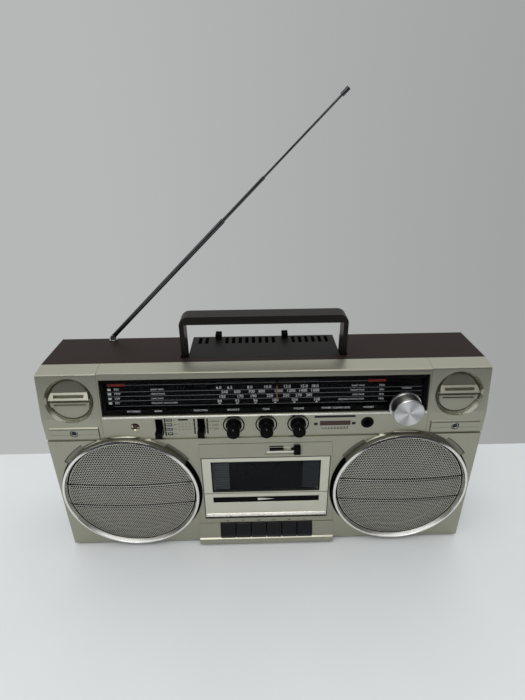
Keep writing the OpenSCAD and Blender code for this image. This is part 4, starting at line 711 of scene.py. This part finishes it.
class RADIO_OT_dial(bpy.types.Operator):
    """Dial print, pointer and the bright strip under the dial, which is a painted highlight"""
    bl_idname = "radio.dial"
    bl_label = "Dial"

    def execute(self, context):
        digit = context.scene.radio_sizes.digit
        face, ends = 6.36, 153.0
        rows = (
            (27.0, ((-44.4, "6.0"), (-33.9, "6.5"), (-14.6, "8.0"), (2.5, "10.0"), (21.1, "13.0"), (37.6, "15.0"),
                    (48.1, "18.0"))),
            (22.5, ((-38.9, "540"), (-26.8, "600"), (-13.0, "700"), (-3.2, "800"), (13.0, "1000"), (25.1, "1200"),
                    (36.5, "1400"), (48.2, "1600"))),
            (17.7, ((-41.5, "150"), (-24.2, "170"), (-11.5, "190"), (4.5, "220"), (20.3, "250"), (32.5, "270"),
                    (42.6, "285"))),
            (13.0, ((-44.1, "88"), (-27.1, "92"), (-9.4, "96"), (9.7, "100"), (28.4, "104"), (50.0, "108"))),
        )
        print_white = []
        for up, numbers in rows:
            print_white += [word(text, on_dial(x, face, up), digit, LEAN) for x, text in numbers]
        names = (("SW", "SHORT WAVE", "MHz"), ("MW", "MEDIUM WAVE", "kHz"), ("LW", "LONG WAVE", "kHz"),
                 ("FM", "FREQUENCY MODULATION", "MHz"))
        for (up, _), (short, full, unit) in zip(rows, names):
            print_white += [mark(on_dial(-149.4, face, up), 3.2, 2.1, LEAN),
                            word(short, on_dial(-144.8, face, up), 2.4, LEAN, "LEFT"),
                            word(full, on_dial(-109.8, face, up - 0.6), 1.7, LEAN, "LEFT", 0.85),
                            word(full, on_dial(96.2, face, up - 0.4), 1.7, LEAN, "RIGHT", 0.85),
                            word(unit, on_dial(113.0, face, up - 0.4), 2.0, LEAN)]
        for x, text in ((-126.4, "FM STEREO"), (-103.0, "BAND"), (-62.3, "FUNCTION"), (-30.8, "BALANCE"),
                        (0.6, "TONE"), (32.2, "VOLUME"), (68.4, "POWER / SOUND LEVEL"), (100.0, "PHONES")):
            print_white.append(word(text, on_dial(x, 1.96, 5.8), 1.9, LEAN))
        print_white.append(word("TUNING", on_dial(137.2, face, 23.0), 1.9, LEAN))
        print_white += [mark(on_dial(x, face, 10.6), 2.0, 0.9, LEAN) for x, _ in rows[3][1]]
        seat(joined("dial_lettering", print_white), "cabinet", "white_plastic", "white_ink")
        lines = [mark(on_dial((a + b) / 2, face, up), b - a, 0.34, LEAN, 0.05)
                 for up, a, b in ((31.4, -133.4, 99.0), (24.6, -ends, ends), (20.0, -ends, ends),
                                  (15.3, -ends, ends), (9.7, -146.0, 119.0))]
        lines += [mark(on_dial(-46 + 2.4 * i, face, 32.4), 0.3, 1.4 if i % 5 else 2.2, LEAN, 0.05) for i in range(41)]
        seat(joined("dial_lines", lines), "cabinet", "white_plastic", "line_ink")
        reds = [mark(on_dial(x, face, 31.6), 17.4, 2.6, LEAN) for x in (-142.5, 108.0)]
        seat(joined("dial_red_blocks", reds), "cabinet", "red_plastic", "red_ink")
        mask = [mark(on_dial(0, 2.2, up), 313.2, high, LEAN, 0.2) for up, high in ((4.7, 5.2), (36.9, 4.0))]
        mask += [mark(on_dial(x, 2.2, 21.0), 4.0, 28.4, LEAN, 0.2) for x in (-154.6, 154.6)]
        mask += [mark(on_dial(x, 6.3, 20.5), 0.3, 28.8, LEAN, 4.0) for x in (-152.6, 152.6)]
        mask += [mark(on_dial(0, 6.3, up), 305.0, 0.3, LEAN, 4.0) for up in (6.25, 34.75)]
        seat(joined("dial_mask", mask), "cabinet", "dial_black", "dial_plate")
        # Painted highlight: a near-white foil strip along the dial's foot, for the light that the ledge there catches
        strip = block("dial_foot_painted_highlight", on_dial(-156.9, -0.7, -0.7), on_dial(156.9, 0.7, 1.4), 0.55, 4)
        seat(strip, "cabinet", "bright_ring", "bright_foil")
        dress("dial_pointer", 0.1, "dial_pointer", "red_plastic", "orange_acrylic")
        shade = mark(on_dial(11.5, 4.15, 31.6), 1.6, 5.2, LEAN, 0.1)
        seat(shade, "dial_pointer", "dial_black", "dial_plate").name = "pointer_shade"
        return {"FINISHED"}


class RADIO_OT_controls(bpy.types.Operator):
    """Knobs, levers, meter, lamp and jack, with the print around them"""
    bl_idname = "radio.controls"
    bl_label = "Controls"

    def execute(self, context):
        z = CONTROLS_Z
        for name, x in KNOBS:
            node = name + "_knob"
            dress(node, 0.3, name + "_control", "black_plastic", "black_gloss")
            across, up = middle(node)
            dot = mark(Vector((across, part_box(node)[0][1] + 0.02 * MM, up + 4.4 * MM)), 0.5, 2.0)
            seat(dot, name + "_control", "white_plastic", "line_ink").name = name + "_line"
            ring = turned(name + "_ring", at(x, 0, z), [(9.4, -0.2), (10.6, -0.2), (10.6, 0.75), (10.0, 0.75),
                                                        (9.4, -0.05), (9.4, -0.2)], 64)
            seat(ring, "cabinet", "black_plastic", "black_gloss")
        dress("tuning_knob", 0.3, "tuning_control", "spun_aluminium", "spun_aluminium")
        for name in ("band_lever", "function_lever", "tape_lever"):
            dress(name, 0.3, name, "black_plastic", "black_gloss")
        print_black, print_pale = [], []
        for _, x in KNOBS:
            for i in range(11):
                turn = math.radians(-145 + 29 * i)
                print_black.append(inked(x + 12.2 * math.sin(turn), z + 12.2 * math.cos(turn), 0.6, 0.6))
        for i, text in enumerate(("SW", "MW", "LW", "FM")):
            row = 163.6 - 5.4 * i
            print_black += [inked(-93.2, row, 5.2, 3.2), inked(-97.6, row, 1.6, 4.9), inked(-88.0, row, 2.6, 0.5)]
            print_pale.append(word(text, at(-93.2, -0.09, row), 1.8))
        for x in (-69.2, -56.6):
            print_black += [inked(x, 162.6 - 4.6 * i, 1.5, 4.2) for i in range(4)]
        for i, text in enumerate(("RADIO", "LINE", "TAPE")):
            row = 161.2 - 4.4 * i
            print_black += [word(text, at(-48.9, -0.05, row), 2.1), inked(-54.4, row, 2.2, 0.4)]
        print_black.append(inked(-79.9, 163.7, 9.6, 1.9))
        for i in range(3):
            print_black += [inked(-84.0 + 3.4 * j, 158.8 - 3.3 * i, 2.0, 0.4) for j in range(4)]
        print_black.append(inked(67.6, 164.0, 40.0, 2.4))
        print_black += [inked(x, 155.6, 3.6, 3.0) for x in (49.2, 86.3)]
        print_black += [inked(55.6 + 3.1 * i, 150.9, 0.9, 0.8 + 0.2 * i) for i in range(9)]
        print_black.append(inked(68.0, 149.6, 26.0, 0.45))
        seat(joined("control_print", print_black), "cabinet", "black_plastic", "black_ink")
        seat(joined("band_names", print_pale), "cabinet", "white_plastic", "white_ink")
        dress("level_meter", 0.1, "cabinet", "red_plastic", "red_acrylic")
        dress("phones_jack", 0.2, "cabinet", "black_plastic", "black_gloss")
        dish = turned("lamp_dish", at(-126.7, 0, z), [(4.25, 0.02), (3.9, 0.6), (3.3, 1.0), (2.56, 1.2), (2.56, 1.5),
                                                      (4.25, 1.5), (4.25, 0.02)])
        seat(dish, "cabinet", "bright_ring", "lamp_chrome")
        dress("stereo_lamp", 0.15, "cabinet", "red_plastic", "red_acrylic")
        dress("microphones", 0.2, "cabinet", "black_plastic", "black_abs")
        low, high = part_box("microphones")
        rim = [(2.4, -0.1), (2.6, -0.35), (3.1, -0.35), (3.3, -0.1), (3.3, 0.1), (2.4, 0.1), (2.4, -0.1)]
        rims = [turned("rim", Vector((x, low[1], (low[2] + high[2]) / 2)), rim)
                for x in (low[0] + 3.6 * MM, high[0] - 3.6 * MM)]
        seat(joined("microphone_rims", rims), "cabinet", "bright_ring", "zinc_steel")
        # Painted shadow: darker lines along the lower and side edges of each microphone plate, and two darker lines
        # across each plate beside its microphone
        lines = []
        for x in (-CORNER_X, CORNER_X):
            lines += [mark(at(x + side * 13.6, -1.61, 149.3), 18.8, 0.45) for side in (-1, 1)]
            lines += [inked(x + side * 24.1, 150.8, 0.4, 12.6) for side in (-1, 1)]
            lines.append(inked(x, 144.2, 48.2, 0.5))
        seat(joined("microphone_plate_shadow_lines", lines), "cabinet", "silver_plastic", "wing_tone_and_painted_shadow")
        return {"FINISHED"}


class RADIO_OT_deck(bpy.types.Operator):
    """Cassette door, its strips, the keys and their base"""
    bl_idname = "radio.deck"
    bl_label = "Cassette deck"

    def execute(self, context):
        # The door's paler tone is partly its own paint and partly painted light, for the brighter reflection on it
        dress("cassette_door", 0.35, "cassette_door", "silver_plastic", "door_paint_and_painted_light")
        # Painted shadow: black strips in the gaps above and beside the cassette door, where shade falls
        door_shade = [block("door_shade", at(-65.3, 0.6, 115.0), at(65.3, 3.4, 115.25), 0.08, 1)]
        door_shade += [block("door_shade", at(x, 0.6, 42.0), at(x + 0.25, 3.4, 114.6), 0.08, 1) for x in (-65.75, 65.5)]
        seat(joined("door_gap_shadow", door_shade), "cassette_door", "rubber", "black_rubber")
        strip = block("door_black_strip", at(-56.4, 0.25, 55.3), at(56.4, 0.78, 62.7), 0.15)
        seat(strip, "cassette_door", "black_plastic", "black_gloss")
        sign = arrow(at(0, 0.24, 59.1), 18.0, 3.4)
        seat(sign, "cassette_door", "white_plastic", "bright_foil").name = "door_arrow"
        bar = block("door_chrome_bar", (-65.0 * MM, -0.45 * MM, -1.7 * MM), (65.0 * MM, -0.02 * MM, 1.7 * MM), 0.15)
        bar.rotation_euler = (-math.atan2(2.3, 2.6), 0, 0)
        bar.location = at(0, -1.45, 38.5)
        seat(settle(bar), "cassette_door", "bright_ring", "bright_foil")
        for name, x, wide, look in (("left", -55.8, 17.6, "rib_abs"), ("right", 38.4, 17.2, "dim_rib_abs")):
            ribs = [block("rib", at(x, 2.5, 72.0 + 3.2 * i), at(x + wide, 3.4, 74.4 + 3.2 * i), 0.3)
                    for i in range(11)]
            seat(joined("door_ribs_" + name, ribs), "cassette_door", "black_plastic", look)
        label = mark(at(10.6, 0.97, 128.3), 14.4, 1.6, 0.0, 0.2)
        seat(label, "cabinet", "black_plastic", "black_ink").name = "tape_switch_label"
        guide = block("tape_switch_bar", at(1.0, 0.68, 120.5), at(28.4, 1.0, 122.7), 0.12)
        seat(guide, "cabinet", "bright_ring", "bright_foil")
        shutter = block("tape_switch_shutter", at(18.2, 3.65, 121.6), at(28.0, 4.2, 128.0), 0.2)
        seat(shutter, "tape_lever", "bright_ring", "bright_foil")
        signs = []
        for i, shape in enumerate(("dot", "play", "back", "ahead", "block", "bars")):
            x = (i - 2.5) * KEY_PITCH
            if shape == "dot":
                signs.append(turned("sign", at(x, 0, KEY_SIGN_Z), [(0.9, -0.06), (0.9, 0.02), (0.2, 0.02)], 20))
            elif shape == "block":
                signs.append(mark(at(x, 0, KEY_SIGN_Z), 1.7, 1.7))
            elif shape == "bars":
                signs += [mark(at(x + d, 0, KEY_SIGN_Z), 0.55, 1.7) for d in (-0.6, 0.6)]
            else:
                pair = (0.0,) if shape == "play" else (-0.9, 0.9)
                wide = -1.7 if shape == "back" else 1.7
                signs += [arrow(at(x + d, 0, KEY_SIGN_Z), wide, 1.9) for d in pair]
        seat(joined("key_signs", signs), "cabinet", "black_plastic", "black_ink")
        dress("key_base", 0.4, "cabinet", "silver_plastic", "champagne_paint")
        for key in ("record", "play", "rewind", "forward", "stop", "pause"):
            node = key + "_key"
            dress(node, 0.5, node, "black_plastic", "black_abs")
        return {"FINISHED"}


class RADIO_OT_carrying(bpy.types.Operator):
    """Carry handle and telescopic aerial"""
    bl_idname = "radio.carrying"
    bl_label = "Handle and aerial"

    def execute(self, context):
        dress("handle", 0.8, "handle", "black_plastic", "handle_abs", 3)
        dress("antenna_base", 0.15, "antenna_base", "chrome", "chrome_plate")
        for part in ("lower", "middle", "upper"):
            node = "antenna_tube_" + part
            # The aerial's chrome is painted darker, standing in for the dark room that it reflects
            dress(node, 0.15, "antenna_" + part, "chrome", "aerial_chrome_painted_dark")
        return {"FINISHED"}


class RADIO_OT_inner_parts(bpy.types.Operator):
    """Finishes of the pieces that keep their CAD shape"""
    bl_idname = "radio.inner_parts"
    bl_label = "Inner parts"

    def execute(self, context):
        looks = {"dial_scale": "dial_plate", "dial_lens": "clear_acrylic", "door_window": "smoked_acrylic",
                 "dial_drum": "ivory_acetal", "supply_reel": "black_abs", "takeup_reel": "black_abs",
                 "dial_cord": "dial_string", "battery_contacts": "zinc_steel", "screws": "zinc_steel",
                 "tuning_shaft": "zinc_steel", "control_pots": "zinc_steel", "tape_motor": "zinc_steel",
                 "flywheel": "zinc_steel", "head_plate": "zinc_steel", "woofer_frames": "dark_steel",
                 "power_transformer": "dark_steel", "woofer_cones": "pulp_paper", "motor_pulley": "turned_brass",
                 "drive_belt": "black_rubber", "pinch_roller": "black_rubber", "circuit_board": "phenolic_board",
                 "tape_deck": "black_abs"}
        for node, look in looks.items():
            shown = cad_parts[node]
            shown.data.materials.clear()
            shown.data.materials.append(finish(look))
        return {"FINISHED"}


class RADIO_OT_stage(bpy.types.Operator):
    """Table, pale surroundings, soft light and the camera"""
    bl_idname = "radio.stage"
    bl_label = "Stage"

    def execute(self, context):
        scene = context.scene
        looks = scene.radio_finish
        table = block("table", (-1.1, -1.2, -0.03), (1.1, 0.13, 0.0), 4.0, 3)
        made, tree, shader, place = start("white_laminate")
        cloud = add(tree, "ShaderNodeTexNoise", None, {"Vector": place, "Scale": 6.0, "Detail": 3.0})
        tint = plain(looks.table)
        tree.links.new(two_tone(tree, cloud.outputs["Fac"], plain(tint, 0.97), tint),
                       shader.inputs["Base Color"])
        shader.inputs["Roughness"].default_value = 0.45
        table.data.materials.append(made)

        world = bpy.data.worlds.new("room")
        scene.world = world
        world.use_nodes = True
        tree = world.node_tree
        toward = add(tree, "ShaderNodeSeparateXYZ", None,
                     {"Vector": add(tree, "ShaderNodeTexCoord").outputs["Generated"]})
        behind = add(tree, "ShaderNodeMapRange", {"interpolation_type": "SMOOTHSTEP"},
                     {"Value": toward.outputs["Y"], "From Min": -0.4, "From Max": 0.35})
        front = add(tree, "ShaderNodeMath", {"operation": "MINIMUM"}, {0: toward.outputs["Y"], 1: 0.0})
        height = add(tree, "ShaderNodeMath", {"operation": "MULTIPLY_ADD"},
                     {0: front.outputs["Value"], 1: 0.35, 2: toward.outputs["Z"]})
        above = add(tree, "ShaderNodeMapRange", {"interpolation_type": "SMOOTHSTEP"},
                    {"Value": height.outputs["Value"], "From Min": 0.25, "From Max": 0.75})
        aside = add(tree, "ShaderNodeMapRange", None, {"Value": toward.outputs["X"], "From Min": -0.3, "From Max": 0.5})
        shaded = add(tree, "ShaderNodeMix", {"data_type": "RGBA"},
                     {0: aside.outputs["Result"], 6: plain(looks.wall), 7: plain(looks.wall, 0.76)})
        walls = add(tree, "ShaderNodeMix", {"data_type": "RGBA"},
                    {0: behind.outputs["Result"], 6: linear("#36363A"), 7: shaded.outputs[2]})
        room = add(tree, "ShaderNodeMix", {"data_type": "RGBA"},
                   {0: above.outputs["Result"], 6: walls.outputs[2], 7: linear("#FAFBFD")})
        tree.links.new(room.outputs[2], tree.nodes["Background"].inputs["Color"])
        tree.nodes["Background"].inputs["Strength"].default_value = 1.0

        for name, place, size, power, aim in (
                ("ceiling", (-0.15, -1.15, 1.65), 1.1, 12.0, (0, 0, 0.1)),
                ("window", (-1.5, -0.9, 1.1), 1.0, 4.0, (0, 0, 0.12))):
            lamp = bpy.data.lights.new(name, "AREA")
            lamp.energy = power
            lamp.size = size
            stand = bpy.data.objects.new(name, lamp)
            stand.location = place
            stand.rotation_euler = (Vector(aim) - Vector(place)).to_track_quat("-Z", "Y").to_euler()
            scene.collection.objects.link(stand)

        lens = bpy.data.cameras.new("camera")
        lens.lens = CAMERA_LENS
        lens.sensor_width = 36.0
        lens.clip_start = 0.01
        eye = bpy.data.objects.new("camera", lens)
        eye.location = CAMERA_AT
        eye.rotation_euler = [math.radians(a) for a in CAMERA_TURN]
        scene.collection.objects.link(eye)
        scene.camera = eye
        scene.view_settings.view_transform = "Standard"
        return {"FINISHED"}


class RADIO_PT_panel(bpy.types.Panel):
    """Lists the player's pieces, its sizes and its colours"""
    bl_idname = "RADIO_PT_panel"
    bl_label = "Radio cassette player"
    bl_space_type = "VIEW_3D"
    bl_region_type = "UI"
    bl_category = "Radio"

    def draw(self, context):
        for group in (context.scene.radio_finish, context.scene.radio_sizes):
            for name in group.__annotations__:
                self.layout.prop(group, name)
        for operator in OPERATORS:
            self.layout.operator(operator.bl_idname)


OPERATORS = (RADIO_OT_cabinet, RADIO_OT_speakers, RADIO_OT_dial, RADIO_OT_controls, RADIO_OT_deck, RADIO_OT_carrying,
             RADIO_OT_inner_parts, RADIO_OT_stage)
CLASSES = (RadioFinish, RadioSizes) + OPERATORS + (RADIO_PT_panel,)


def register():
    for item in CLASSES:
        bpy.utils.register_class(item)
    bpy.types.Scene.radio_finish = bpy.props.PointerProperty(type=RadioFinish)
    bpy.types.Scene.radio_sizes = bpy.props.PointerProperty(type=RadioSizes)


def unregister():
    del bpy.types.Scene.radio_sizes
    del bpy.types.Scene.radio_finish
    for item in reversed(CLASSES):
        bpy.utils.unregister_class(item)


def main():
    register()
    for step in (bpy.ops.radio.cabinet, bpy.ops.radio.speakers, bpy.ops.radio.dial, bpy.ops.radio.controls,
                 bpy.ops.radio.deck, bpy.ops.radio.carrying, bpy.ops.radio.inner_parts, bpy.ops.radio.stage):
        step()


if __name__ == "__main__":
    main()
